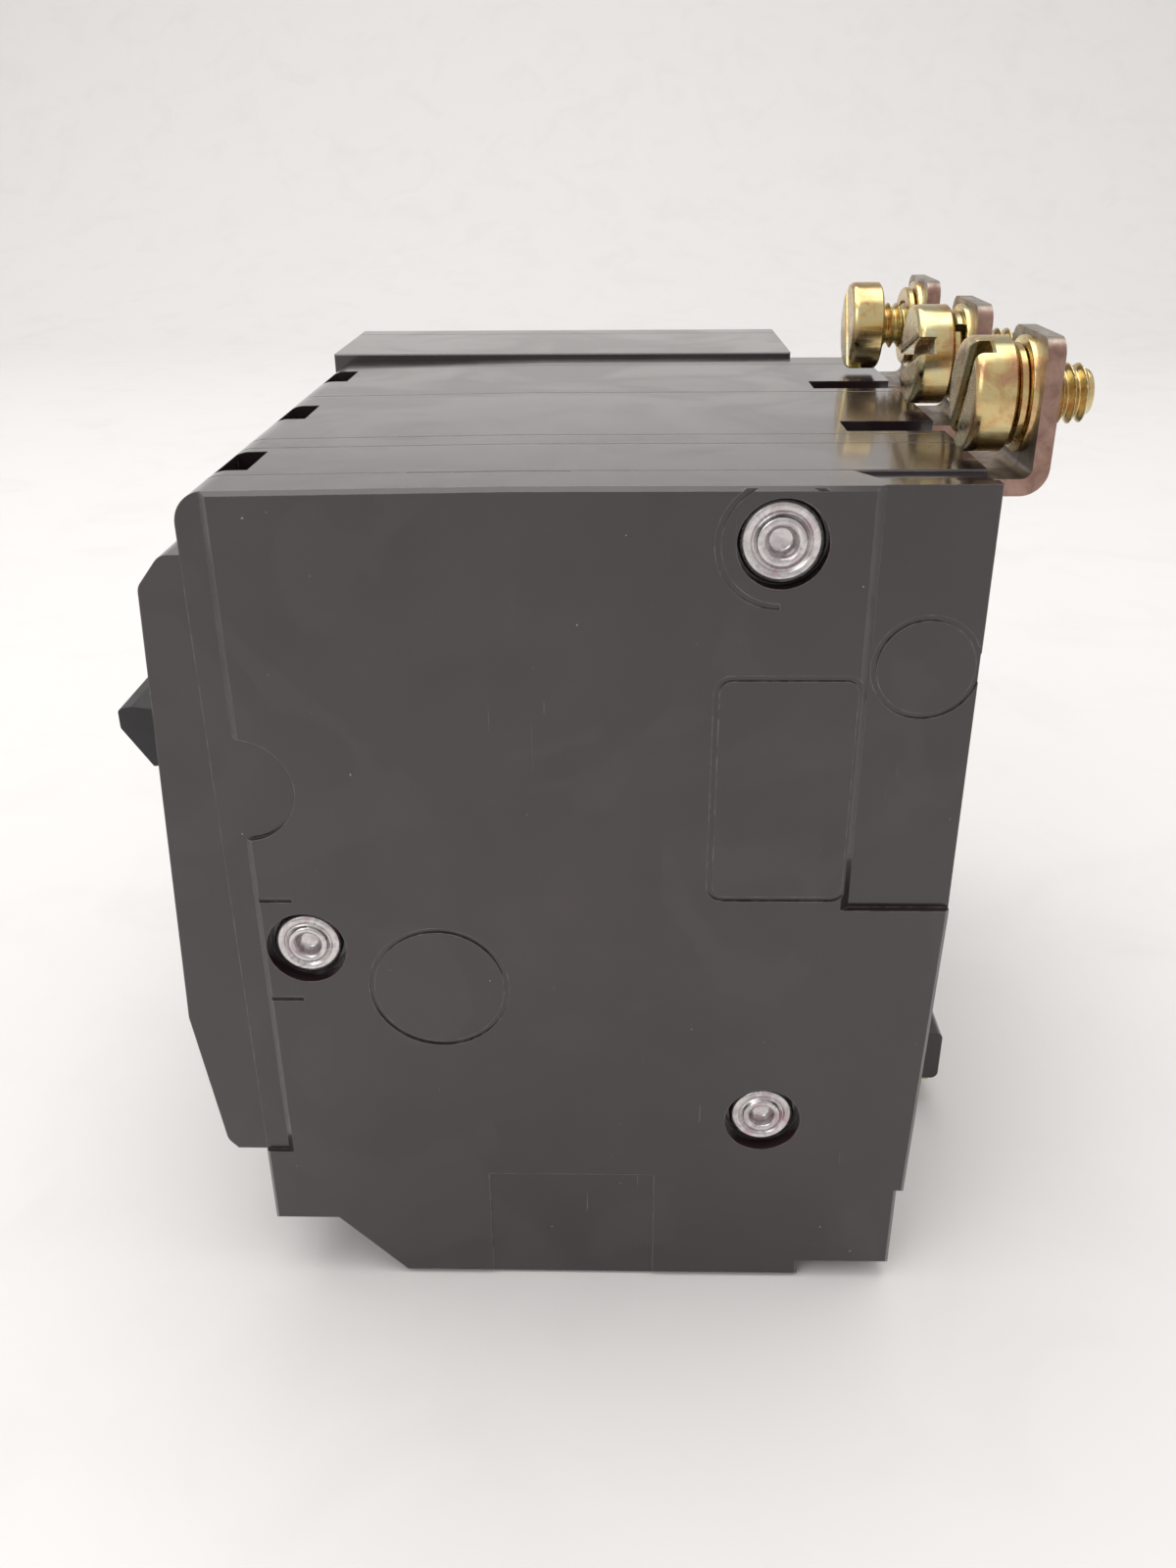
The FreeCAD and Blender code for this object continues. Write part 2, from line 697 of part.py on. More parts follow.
def near_cover():
    body = shell("near_cover", COVER_SEAM, NEAR_FACE, BODY_OUTLINE, "bezel_side_set")
    inner = f"{NEAR_FACE} - wall"
    cut_x(body, [CAVITY], COVER_SEAM, inner)
    side_marks(body)
    crescent(body)
    add_bosses(body, COVER_SEAM, f"{NEAR_FACE} - wall / 2")
    drill_rivets(body, COVER_SEAM, NEAR_FACE)
    cut_x(body, [(spot, "rivet_sink_radius") for spot in RIVETS], f"{NEAR_FACE} - rivet_sink", NEAR_FACE)
    strap_slot(body, POLE_CENTRES[0], COVER_SEAM, NEAR_FACE)
    cut_x(body, [(PIVOT, "journal_radius + journal_gap")], COVER_SEAM, f"{COVER_SEAM} + journal_length + well_gap")
    cut_x(body, [(BAR, "bar_radius + bar_gap")], f"{inner} - wall / 2", f"{inner} + bar_bearing")
    side_strip(body, "rear_face - rear_strip", "-rear_strip_slope", "rear_face + wall", "rear_strip_sink",
               "rear_strip_foot")
    side_strip(body, "-front_face + front_strip", "front_strip_slope", "-front_face - bezel_reach - wall",
               "front_strip_sink", "bezel_bottom")
    cut_x(body, [(PIVOT, "boss_radius")], f"{NEAR_FACE} - front_strip_sink", NEAR_FACE)
    ring_groove(body, ("rear_face - stamp_set", "stamp_height"), "stamp_radius", f"{NEAR_FACE} - rear_strip_sink")
    lip = [(f"{COVER_SEAM} - wall", "rear_face - lip_start - lip_taper"), (COVER_SEAM, "rear_face - lip_start - lip_taper"),
           (f"{NEAR_FACE} - lip_set", "rear_face - lip_start"), (f"{NEAR_FACE} - lip_set", "rear_face + wall"),
           (f"{COVER_SEAM} - wall", "rear_face + wall")]
    cut_z(body, [lip], "crown - lip_depth", "crown + wall")
    gap = rectangle("-seam_gap_start", "-seam_gap_end", "crown - crown_fall - seam_gap_depth", "crown + wall")
    cut_x(body, [gap], COVER_SEAM, f"{COVER_SEAM} + seam_gap")
    return body


def pole_1_case():
    centre = POLE_CENTRES[0]
    body = shell("pole_1_case", PARTITION_NEAR, COVER_SEAM, BODY_OUTLINE)
    cut_x(body, [CAVITY], PARTITION_NEAR, COVER_SEAM)
    add_bosses(body, PARTITION_NEAR, COVER_SEAM)
    drill_rivets(body, PARTITION_NEAR, COVER_SEAM)
    handle_well(body, PARTITION_NEAR, f"{HANDLE_NEAR} + paddle_end_gap")
    cut_x(body, [(PIVOT, "journal_radius + well_gap")], HANDLE_NEAR, COVER_SEAM)
    strap_slot(body, centre, PARTITION_NEAR, COVER_SEAM)
    vent_slot(body, f"{centre} - vent_width / 2", f"{centre} + vent_width / 2")
    load_ways(body, centre, f"{centre} - wire_window", f"{centre} + wire_window")
    return body


def partition():
    body = shell("pole_2_cover", PARTITION_FAR, PARTITION_NEAR, BODY_OUTLINE)
    inner = f"{PARTITION_FAR} + floor_wall"
    cut_x(body, [CAVITY], inner, PARTITION_NEAR)
    add_bosses(body, PARTITION_FAR, PARTITION_NEAR)
    add_posts(body, f"{PARTITION_FAR} + floor_wall / 2", POLE_CENTRES[0], 1)
    drill_rivets(body, PARTITION_FAR, PARTITION_NEAR)
    handle_well(body, PARTITION_FAR, PARTITION_NEAR)
    strap_slot(body, POLE_CENTRES[0], PARTITION_FAR, PARTITION_NEAR)
    cut_x(body, [(BAR, "bar_radius + bar_clear")], PARTITION_FAR, PARTITION_NEAR)
    return body


def pole_2_case():
    centre = POLE_CENTRES[1]
    body = shell("pole_2_case", CASE_SEAM, PARTITION_FAR, BODY_OUTLINE)
    inner = f"{CASE_SEAM} + floor_wall"
    cut_x(body, [CAVITY], inner, PARTITION_FAR)
    add_bosses(body, CASE_SEAM, PARTITION_FAR)
    add_posts(body, f"{CASE_SEAM} + floor_wall / 2", centre, 1)
    drill_rivets(body, CASE_SEAM, PARTITION_FAR)
    handle_well(body, CASE_SEAM, PARTITION_FAR)
    strap_slot(body, centre, CASE_SEAM, PARTITION_FAR)
    barrier_slot(body, "pole_pitch + barrier_side - barrier_width")
    vent_slot(body, f"{centre} - vent_width / 2", f"{centre} + vent_width / 2")
    load_ways(body, centre, f"{centre} - wire_window", f"{centre} + wire_window")
    cut_x(body, [(BAR, "bar_radius + bar_clear")], CASE_SEAM, inner)
    return body


def pole_3_case():
    centre = POLE_CENTRES[2]
    body = shell("pole_3_case", END_SEAM, CASE_SEAM, BODY_OUTLINE)
    inner = f"{CASE_SEAM} - floor_wall"
    cut_x(body, [CAVITY], END_SEAM, inner)
    add_bosses(body, END_SEAM, CASE_SEAM)
    add_posts(body, f"{CASE_SEAM} - floor_wall / 2", centre, -1)
    drill_rivets(body, END_SEAM, CASE_SEAM)
    handle_well(body, f"{HANDLE_FAR} - paddle_end_gap", CASE_SEAM)
    cut_x(body, [(PIVOT, "journal_radius + well_gap")], END_SEAM, HANDLE_FAR)
    strap_slot(body, centre, END_SEAM, CASE_SEAM)
    barrier_slot(body, "barrier_far_side - barrier_width")
    vent_slot(body, f"{centre} - vent_width / 2", f"{centre} + vent_width / 2")
    load_ways(body, centre, f"{centre} - wire_window", f"{centre} + wire_window")
    cut_x(body, [(BAR, "bar_radius + bar_clear")], inner, CASE_SEAM)
    return body


def end_cover():
    body = shell("end_cover", MODULE_SEAM, END_SEAM, BODY_OUTLINE)
    inner = f"{MODULE_SEAM} + floor_wall"
    cut_x(body, [CAVITY], inner, END_SEAM)
    add_bosses(body, MODULE_SEAM, END_SEAM)
    drill_rivets(body, MODULE_SEAM, END_SEAM)
    strap_slot(body, POLE_CENTRES[2], MODULE_SEAM, END_SEAM)
    journal = "(journal_length + well_gap)"
    cut_x(body, [(PIVOT, "journal_radius + journal_gap")], f"{END_SEAM} - {journal}", END_SEAM)
    cut_x(body, [(BAR, "bar_radius + bar_clear")], MODULE_SEAM, inner)
    return body


def module_case():
    centre = MODULE_CENTRE
    body = shell("module_case", MODULE_COVER_SEAM, MODULE_SEAM, MODULE_OUTLINE)
    inner = f"{MODULE_SEAM} - floor_wall"
    cut_x(body, [CAVITY], MODULE_COVER_SEAM, inner)
    add_bosses(body, MODULE_COVER_SEAM, MODULE_SEAM)
    drill_rivets(body, MODULE_COVER_SEAM, MODULE_SEAM)
    load_ways(body, centre, f"{centre} - wire_window", f"{centre} + wire_window")
    cut_x(body, [(BAR, "bar_radius + bar_gap")], inner, MODULE_SEAM)
    half = "(button_side / 2 + button_gap)"
    window = rectangle(f"{centre} - {half}", f"{centre} + {half}", f"button_height - {half}", f"button_height + {half}")
    cut_y(body, [window], "-front_face - 2 * bezel_reach", "-front_face + 2 * wall")
    return body


def module_cover():
    body = shell("module_cover", FAR_FACE, MODULE_COVER_SEAM, MODULE_OUTLINE)
    inner = f"{FAR_FACE} + wall"
    cut_x(body, [CAVITY], inner, MODULE_COVER_SEAM)
    add_bosses(body, FAR_FACE, MODULE_COVER_SEAM)
    drill_rivets(body, FAR_FACE, MODULE_COVER_SEAM)
    cut_x(body, [(spot, "rivet_sink_radius") for spot in RIVETS], FAR_FACE, f"{FAR_FACE} + rivet_sink")
    return body


def rivets():
    """Three tubular rivets, rolled over in the sinks of both outer faces; one node."""
    solids = []
    for index, (along, up) in enumerate(RIVETS):
        radius = value("rivet_radius")
        near = value(f"{NEAR_FACE} - rivet_sink")
        far = value(f"{FAR_FACE} + rivet_sink")
        head = value("rivet_head_a" if index == 0 else "rivet_head_b")
        thick = value("rivet_head_thick")
        edge = value("rivet_head_edge")
        bore = value("rivet_bore")
        deep = value("rivet_bore_depth")
        profile = [
            (far - thick, bore), (far + deep, bore), (far + deep, 0), (near - deep, 0), (near - deep, bore),
            (near + thick, bore), (near + thick, head - edge), (near + thick / 2, head), (near, head),
            (near, radius), (far, radius), (far, head), (far - thick / 2, head), (far - thick, head - edge),
        ]
        points = [FreeCAD.Vector(across, distance, 0) for across, distance in profile]
        face = Part.Face(Part.makePolygon(points + points[:1]))
        solid = face.revolve(FreeCAD.Vector(0, 0, 0), FreeCAD.Vector(1, 0, 0), 360)
        solid.translate(FreeCAD.Vector(0, value(along), value(up)))
        solids.append(solid)
    feature = doc.addObject("Part::Feature", "case_rivets")
    feature.Label = "case_rivets"
    feature.Shape = Part.makeCompound(solids)
    return feature


# ---------------------------------------------------------------- handle and trip bar
def handle():
    """One paddle across the three poles, on a drum that fills the well, with a journal at each end."""
    body = new_body("handle")
    across = "paddle_reach"
    root = "paddle_root / 2"
    paddle = [
        ("0", f"-{root}"), (f"-{across} + paddle_tip", f"paddle_rise / 2 - paddle_root"),
        (f"-{across}", "paddle_rise - paddle_tip / 4"), (f"-{across}", "paddle_rise + paddle_tip / 2"),
        (f"-{across} + paddle_tip / 2", "paddle_rise + paddle_tip / 2 + paddle_swell"), ("0", root),
    ]
    add_x(body, [(("0", "0"), "drum_radius")], HANDLE_FAR, HANDLE_NEAR)
    add_x(body, [paddle], HANDLE_FAR, HANDLE_NEAR)
    add_x(body, [(("0", "0"), "journal_radius")], HANDLE_NEAR, f"{COVER_SEAM} + journal_length")
    add_x(body, [(("0", "0"), "journal_radius")], f"{END_SEAM} - journal_length", HANDLE_FAR)
    soften(body, "Fillet", 0, [(f"-{across}", "paddle_rise - paddle_tip / 4"),
                               (f"-{across}", "paddle_rise + paddle_tip / 2")], "paddle_tip / 5")
    place(body, "0", PIVOT[0], PIVOT[1])
    return body


def trip_bar():
    """A bar across all poles into the module, with one finger for each."""
    body = new_body("trip_bar")
    near_end = f"{NEAR_FACE} - wall + bar_bearing - bar_gap"
    far_end = f"{MODULE_CENTRE} - finger_width / 2 - bar_past_finger"
    add_x(body, [(("0", "0"), "bar_radius")], far_end, near_end)
    finger = rectangle("-finger_thick / 2", "finger_thick / 2", "0", "finger_top - bar_height")
    for centre in POLE_CENTRES + [MODULE_CENTRE]:
        add_x(body, [finger], f"{centre} - finger_width / 2", f"{centre} + finger_width / 2")
    place(body, "0", BAR[0], BAR[1])
    return body


# ---------------------------------------------------------------- what each pole holds
def line_strap(number, centre):
    """A bent strap: a leg down into the case, a flat way out over the rear, and a leg up for the screw."""
    body = new_body(f"line_strap_{number}")
    side = [
        (LEG_FACE, "crown - strap_leg_foot"), (f"{LEG_FACE} + strap_thick", "crown - strap_leg_foot"),
        (f"{LEG_FACE} + strap_thick", STRAP_LEVEL), (STRAP_REAR, STRAP_LEVEL), (STRAP_REAR, STRAP_TOP),
        (f"{STRAP_REAR} - strap_thick", STRAP_TOP), (f"{STRAP_REAR} - strap_thick", f"{STRAP_LEVEL} + strap_thick"),
        (LEG_FACE, f"{STRAP_LEVEL} + strap_thick"),
    ]
    add_x(body, [side], "-strap_width / 2", "strap_width / 2")
    soften(body, "Fillet", 0, [(STRAP_REAR, STRAP_LEVEL)], "strap_bend")
    soften(body, "Fillet", 0, [(f"{STRAP_REAR} - strap_thick", f"{STRAP_LEVEL} + strap_thick")],
           "strap_bend - strap_thick")
    soften(body, "Fillet", 1, [("strap_width / 2", STRAP_TOP), ("-strap_width / 2", STRAP_TOP)], "strap_clip")
    cut_y(body, [(("0", SCREW_HEIGHT), "screw_radius + screw_gap")], f"{STRAP_REAR} - 2 * strap_thick",
          f"{STRAP_REAR} + strap_thick")
    place(body, centre, "0", "0")
    return body


def washer_stack():
    """Y of the strap's front face, of the flat washer's front and of the lock washer's front."""
    strap_front = f"{STRAP_REAR} - strap_thick"
    flat_front = f"{strap_front} - flat_thick"
    return strap_front, flat_front, f"{flat_front} - lock_thick"


def line_screw(number, centre, pull):
    """A slotted fillister screw; pull is how far it stands drawn forward."""
    body = new_body(f"line_screw_{number}")
    head_rear = "0"
    thread = "lock_thick + flat_thick + strap_thick + thread_set"
    end = "strap_thick + flat_thick + lock_thick + screw_end - strap_back"
    turned(body, [
        ("0", "-head_length"), ("head_radius - head_chamfer", "-head_length"),
        ("head_radius", "-head_length + head_chamfer"), ("head_radius", head_rear), ("screw_neck", head_rear),
        ("screw_neck", thread), ("screw_radius", thread),
        ("screw_radius", f"{end} - screw_end_chamfer"), ("screw_radius - screw_end_chamfer", end), ("0", end),
    ])
    slot = rectangle("-2 * head_radius", "2 * head_radius", "-head_slot / 2", "head_slot / 2")
    cut_y(body, [slot], "-2 * head_length", "-head_length + head_slot_depth")
    place(body, centre, f"{washer_stack()[2]} - {pull}", SCREW_HEIGHT)
    return body


def lock_washer(number, centre):
    """A split spring washer."""
    body = new_body(f"lock_washer_{number}")
    add_y(body, [(("0", "0"), "lock_radius"), (("0", "0"), "screw_radius + 4 * screw_gap")], "0", "lock_thick")
    split = rectangle("-lock_split / 2", "lock_split / 2", "0", "2 * lock_radius")
    cut_y(body, [split], "-lock_thick", "2 * lock_thick")
    place(body, centre, washer_stack()[2], SCREW_HEIGHT)
    return body


def flat_washer(number, centre):
    """A plain washer against the strap."""
    body = new_body(f"flat_washer_{number}")
    add_y(body, [(("0", "0"), "flat_radius"), (("0", "0"), "screw_radius + 4 * screw_gap")], "0", "flat_thick")
    place(body, centre, washer_stack()[1], SCREW_HEIGHT)
    return body


def contact_arm(number, centre):
    """The blade that carries the moving contact, hung from a pin, with its contact pad at the tip."""
    body = new_body(f"contact_arm_{number}")
    half = "arm_width / 2"
    blade = [
        ("-arm_thick / 2", "0"), ("arm_thick / 2", "0"), ("arm_lean + arm_thick / 2", "arm_length"),
        ("arm_lean - arm_thick / 2", "arm_length"),
    ]
    add_x(body, [blade], f"-{half}", half)
    add_x(body, [(("0", "0"), "pin_radius")], "-inner_half", "inner_half")
    pad = rectangle("arm_lean", "arm_lean + 1.1 * arm_thick", "0.8 * arm_length", "arm_length")
    add_x(body, [pad], f"-0.7 * {half}", f"0.7 * {half}")
    place(body, centre, ARM_PIVOT[0], ARM_PIVOT[1])
    return body


def trip_lever(number, centre):
    """The cradle that the trip bar's finger holds."""
    body = new_body(f"trip_lever_{number}")
    blade = [
        ("0", "-lever_depth / 2"), ("lever_run", "-lever_fall"), ("lever_run", "-lever_fall + 0.8 * lever_depth"),
        ("0", "lever_depth / 2"),
    ]
    add_x(body, [(("0", "0"), "lever_depth / 2 + 0.3")], "-lever_thick / 2", "lever_thick / 2")
    add_x(body, [blade], "-lever_thick / 2", "lever_thick / 2")
    add_x(body, [(("0", "0"), "lever_pin_radius")], "-inner_half", "inner_half")
    place(body, centre, LEVER_PIVOT[0], LEVER_PIVOT[1])
    return body


def toggle_spring(number, centre):
    """The over-centre spring's own envelope, beside the cradle."""
    body = new_body(f"toggle_spring_{number}")
    add_y(body, [(("0", "0"), "spring_radius"), (("0", "0"), "spring_bore")], "0", "spring_length")
    place(body, centre, "-spring_front", "spring_height")
    return body


def bimetal(number, centre):
    """The heated strip, standing on the load lug."""
    body = new_body(f"bimetal_{number}")
    strip = rectangle("0", "bimetal_thick", "0", "bimetal_top - lug_floor - lug_height")
    add_x(body, [strip], "-bimetal_width / 2", "bimetal_width / 2")
    place(body, centre, "rear_face - bimetal_set - 1", "lug_floor + lug_height")
    return body


def magnet_yoke(number, centre):
    """The channel of soft iron behind the bimetal."""
    body = new_body(f"magnet_yoke_{number}")
    tall = "yoke_head - yoke_foot"
    add_x(body, [rectangle("0", "yoke_depth", "0", tall)], "-inner_half", "inner_half")
    cut_x(body, [rectangle("-yoke_cheek", "yoke_depth - yoke_cheek", "-yoke_cheek", f"{tall} + yoke_cheek")],
          "-inner_half + yoke_cheek", "inner_half - yoke_cheek")
    place(body, centre, "rear_face - bimetal_set - 1 + bimetal_thick", "yoke_foot")
    return body


def arc_chute(number, centre):
    """A stack of steel plates between two side boards that splits the arc."""
    body = new_body(f"arc_chute_{number}")
    tall = "chute_height"
    full = "chute_step * (chute_plates - 1) + chute_plate"
    add_x(body, [rectangle("0", full, "0", tall)], "-inner_half", "inner_half")
    for gap in range(SIZES["chute_plates"] - 1):
        slot = rectangle(f"{gap} * chute_step + chute_plate", f"{gap + 1} * chute_step", "-wall", f"{tall} - wall / 2")
        cut_x(body, [slot], "-inner_half + chute_plate", "inner_half - chute_plate")
    place(body, centre, f"chute_back - ({full})", "crown - chute_drop - chute_height")
    return body


def load_lug(number, centre):
    """A box lug: the wire's bore from the load end and the screw's thread from the front."""
    body = new_body(f"load_lug_{number}")
    half = "lug_width / 2"
    long_half = "lug_length / 2"
    add_x(body, [rectangle(f"-{long_half}", long_half, "0", "lug_height")], f"-{half}", half)
    cut_z(body, [(("0", "wire_back"), "wire_radius")], "-wall", "lug_height + wall")
    cut_y(body, [(("0", "lug_screw_height - lug_floor"), "lug_screw_radius + screw_gap")],
          "-lug_length", "wire_back")
    place(body, centre, "lug_centre", "lug_floor")
    return body


def lug_screw(number, centre):
    """The clamping screw with its driver socket, standing backed out so that the wire's bore is clear."""
    body = new_body(f"lug_screw_{number}")
    turned(body, [
        ("0", "lug_socket_depth"), ("lug_socket", "lug_socket_depth"), ("lug_socket", "0"),
        ("lug_screw_radius - screw_end_chamfer", "0"), ("lug_screw_radius", "screw_end_chamfer"),
        ("lug_screw_radius", "lug_screw_length - screw_end_chamfer"),
        ("lug_screw_radius - screw_end_chamfer", "lug_screw_length"), ("0", "lug_screw_length"),
    ])
    place(body, centre, "lug_centre + wire_back - wire_radius - lug_screw_length + lug_screw_bite - 1",
          "lug_screw_height")
    return body


# ---------------------------------------------------------------- rear foot
def rail_foot():
    """The hooked foot at the rear of the load end that takes the panel's rail."""
    body = new_body("rail_foot")
    hook = [
        (SKIRT, "foot_low"), (f"{SKIRT} + foot_reach", "foot_low"), (f"{SKIRT} + foot_reach", "foot_hook"),
        (f"{SKIRT} + foot_reach - foot_hook_thick", "foot_hook"),
        (f"{SKIRT} + foot_reach - foot_hook_thick", "foot_low + foot_thick"), (SKIRT, "foot_low + foot_thick"),
    ]
    add_x(body, [hook], "-foot_width / 2", "foot_width / 2")
    soften(body, "Fillet", 0, [(f"{SKIRT} + foot_reach", "foot_low"), (f"{SKIRT} + foot_reach", "foot_hook")],
           "foot_thick / 3")
    place(body, POLE_CENTRES[1], "0", "0")
    return body


def rail_clip():
    """The plated spring blade under the foot."""
    body = new_body("rail_clip")
    blade = rectangle(SKIRT, f"{SKIRT} + foot_reach - foot_thick / 3", "foot_low - clip_thick", "foot_low")
    add_x(body, [blade], "-foot_width / 2 + clip_thick", "foot_width / 2 - clip_thick")
    place(body, POLE_CENTRES[1], "0", "0")
    return body


# ---------------------------------------------------------------- ground-fault module
def circuit_board():
    """The sensing board, upright beside the module's floor."""
    body = new_body("circuit_board")
    board = rectangle("-board_front", "board_back", "board_foot", "board_head")
    add_x(body, [board], "-floor_wall - board_thick", "-floor_wall")
    place(body, MODULE_SEAM, "0", "0")
    return body


def current_transformer():
    """The sensing ring, seated on the board."""
    body = new_body("current_transformer")
    top = "-floor_wall - board_thick"
    add_x(body, [(("0", "0"), "ring_outer"), (("0", "0"), "ring_inner")], f"{top} - ring_width", top)
    place(body, MODULE_SEAM, "-ring_front", "ring_height")
    return body


def trip_solenoid():
    """The coil that throws the plunger."""
    body = new_body("trip_solenoid")
    add_y(body, [(("0", "0"), "coil_radius"), (("0", "0"), "plunger_radius + plunger_gap")], "0", "coil_length")
    place(body, MODULE_CENTRE, "coil_front", "plunger_height")
    return body


def plunger():
    """The rod that pushes the trip bar's finger."""
    body = new_body("trip_plunger")
    add_y(body, [(("0", "0"), "plunger_radius")], "0", "plunger_length")
    place(body, MODULE_CENTRE, f"{BAR[0]} + finger_thick / 2 + plunger_start", "plunger_height")
    return body


def test_button():
    """The square push button in the module's bezel, with a flange that keeps it in."""
    body = new_body("test_button")
    half = "button_side / 2"
    square = rectangle(f"-{half}", half, f"-{half}", half)
    rim = f"({half} + button_flange)"
    flange = rectangle(f"-{rim}", rim, f"-{rim}", rim)
    add_y(body, [square], "0", "button_length")
    add_y(body, [flange], "button_length", "button_length + button_flange")
    soften(body, "Fillet", 1, [(f"-{half}", f"-{half}"), (half, f"-{half}"), (half, half), (f"-{half}", half)],
           "button_gap")
    place(body, MODULE_CENTRE, "-front_face - bezel_reach + bezel_lean - button_proud", "button_height")
    return body


def test_spring():
    """The return spring's envelope behind the test button."""
    body = new_body("test_spring")
    add_y(body, [(("0", "0"), "button_spring_radius"), (("0", "0"), "button_spring_bore")], "0",
          "button_spring_length")
    back = "button_length + button_flange"
    place(body, MODULE_CENTRE, f"-front_face - bezel_reach + bezel_lean - button_proud + {back}", "button_height")
    return body


# ---------------------------------------------------------------- build
def build():
    """Every sub-part, in a list."""
    pieces = [near_cover(), pole_1_case(), partition(), pole_2_case(), pole_3_case(), end_cover(), module_case(),
              module_cover(), rivets(), handle(), trip_bar(), rail_foot(), rail_clip(), circuit_board(),
              current_transformer(), trip_solenoid(), plunger(), test_button(), test_spring()]
    per_pole = [line_strap, lock_washer, flat_washer, contact_arm, trip_lever, toggle_spring, bimetal, magnet_yoke,
                arc_chute, load_lug, lug_screw]
    for number, centre in enumerate(POLE_CENTRES, start=1):
        pieces += [make(number, centre) for make in per_pole]
        pieces.append(line_screw(number, centre, "loose_pull" if number == 3 else "0"))
    pieces += [load_lug("neutral", MODULE_CENTRE), lug_screw("neutral", MODULE_CENTRE)]
    return pieces


def check(pieces):
    """Stop if a feature failed, a cut took nothing away or a sub-part is not one sound shape."""
    for item in doc.Objects:
        if "Invalid" in item.State or "Error" in item.State:
            raise RuntimeError(f"{item.Name} failed: {item.State}")
        if item.TypeId == "PartDesign::Pocket":
            removed = item.BaseFeature.Shape.Volume - item.Shape.Volume
            if removed < 1e-3:
                raise RuntimeError(f"{item.Name} cuts nothing")
    for piece in pieces:
        if piece.Shape.isNull() or not piece.Shape.isValid():
            raise RuntimeError(f"{piece.Label} is not a valid shape")
        print(f"{piece.Label}: {len(piece.Shape.Solids)} solid, {piece.Shape.Volume:.1f} mm3")


made = build()
doc.recompute()
check(made)
os.makedirs("parts", exist_ok=True)
for piece in made:
    piece.Shape.exportStep(f"parts/{piece.Label}.step")
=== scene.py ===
# %% [markdown]
# # A three-pole moulded-case breaker with a ground-fault module
#
# The breaker stands on its load end. Seen from its near cover, the handle points left, the mounting rear right and
# the line terminals up. The construction comes in as a fixed frame of named pieces in metres, with +Z towards
# the line end, -Y towards the handle and +X towards the near cover. This notebook gives each piece its finish and
# models again the few that need more than plain turned or bent shapes: the screws with their rolled threads, the
# washers and the rolled rivet heads.

import json
import math

import bmesh
import bpy
import numpy as np
from mathutils import Matrix, Vector


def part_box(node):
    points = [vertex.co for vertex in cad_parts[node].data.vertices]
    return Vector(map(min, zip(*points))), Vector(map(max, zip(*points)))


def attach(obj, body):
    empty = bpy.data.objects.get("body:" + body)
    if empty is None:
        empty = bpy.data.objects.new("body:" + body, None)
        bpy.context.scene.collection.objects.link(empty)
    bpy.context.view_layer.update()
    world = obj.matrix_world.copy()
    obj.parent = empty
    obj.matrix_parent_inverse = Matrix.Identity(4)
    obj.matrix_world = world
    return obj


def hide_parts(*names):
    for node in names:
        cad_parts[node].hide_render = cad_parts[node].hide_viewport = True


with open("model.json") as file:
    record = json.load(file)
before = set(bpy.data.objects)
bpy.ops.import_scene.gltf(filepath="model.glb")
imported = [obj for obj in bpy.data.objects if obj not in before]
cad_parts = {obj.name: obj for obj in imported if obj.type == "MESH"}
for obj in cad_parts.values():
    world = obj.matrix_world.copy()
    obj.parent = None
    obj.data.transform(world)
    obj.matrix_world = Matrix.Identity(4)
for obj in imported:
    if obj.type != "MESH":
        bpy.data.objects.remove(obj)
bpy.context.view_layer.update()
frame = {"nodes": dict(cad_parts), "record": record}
MM = 0.001

# %% [markdown]
# ## Places read from the frame
#
# Every new piece sits where a node of the frame says. The box of a node gives its two corners, so the middle of a
# screw's box is a point on its axis and half its height is the radius of its head. The stud's radius comes from the
# record's mounts. Nothing is measured a second time.

# %% Places and sizes
POLES = (1, 2, 3)
MOUNTS = {mount["name"]: mount for mount in frame["record"]["mounts"]}
STUD_RADIUS = MOUNTS["line_stud_1"]["dims"]["r_mm"] * MM


def corners(node):
    """Lowest and highest corner of a node as two arrays."""
    low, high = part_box(node)
    return np.array(low), np.array(high)


near_x, _, top_z = corners("near_cover")[1] / MM
print("near cover face at x =", round(near_x, 2), "mm, top at z =", round(top_z, 2), "mm")

# %% [markdown]
# ## Colour and node helpers
#
# Colours are written as sRGB hex values, the way a paint chart gives them. Shaders work with linear light, so one
# function turns them. One more function adds a shader node with its settings and its links in a single call, and
# short ones on top of it make noise, stretch a value and mix two colours, so a finish reads from top to bottom.

# %% Helpers for materials
MIX_OUT = 2  # colour output of a Mix node; its colour inputs are 6 and 7


def linear(hex_colour, alpha=1.0):
    """sRGB hex to linear RGBA: c/12.92 below 0.04045, else ((c + 0.055) / 1.055) to the power 2.4."""
    channels = np.array([int(hex_colour[i:i + 2], 16) for i in (1, 3, 5)]) / 255.0
    light = np.where(channels <= 0.04045, channels / 12.92, ((channels + 0.055) / 1.055) ** 2.4)
    return (*light.tolist(), alpha)


def add(tree, kind, values=None, links=None, **settings):
    """Add a node: its attributes, the values of its sockets, and links from (node, output) pairs."""
    made = tree.nodes.new(kind)
    for name, setting in settings.items():
        setattr(made, name, setting)
    for socket, number in (values or {}).items():
        made.inputs[socket].default_value = number
    for socket, (source, output) in (links or {}).items():
        tree.links.new(source.outputs[output], made.inputs[socket])
    return made


def new_finish(name):
    """An empty material with a principled shader and its output."""
    material = bpy.data.materials.new(name)
    material.use_nodes = True
    tree = material.node_tree
    tree.nodes.clear()
    shader = add(tree, "ShaderNodeBsdfPrincipled")
    add(tree, "ShaderNodeOutputMaterial", links={"Surface": (shader, "BSDF")})
    return material, tree, shader


def join(tree, source, output, shader, socket):
    """Link one output to one socket of the shader."""
    tree.links.new(source.outputs[output], shader.inputs[socket])


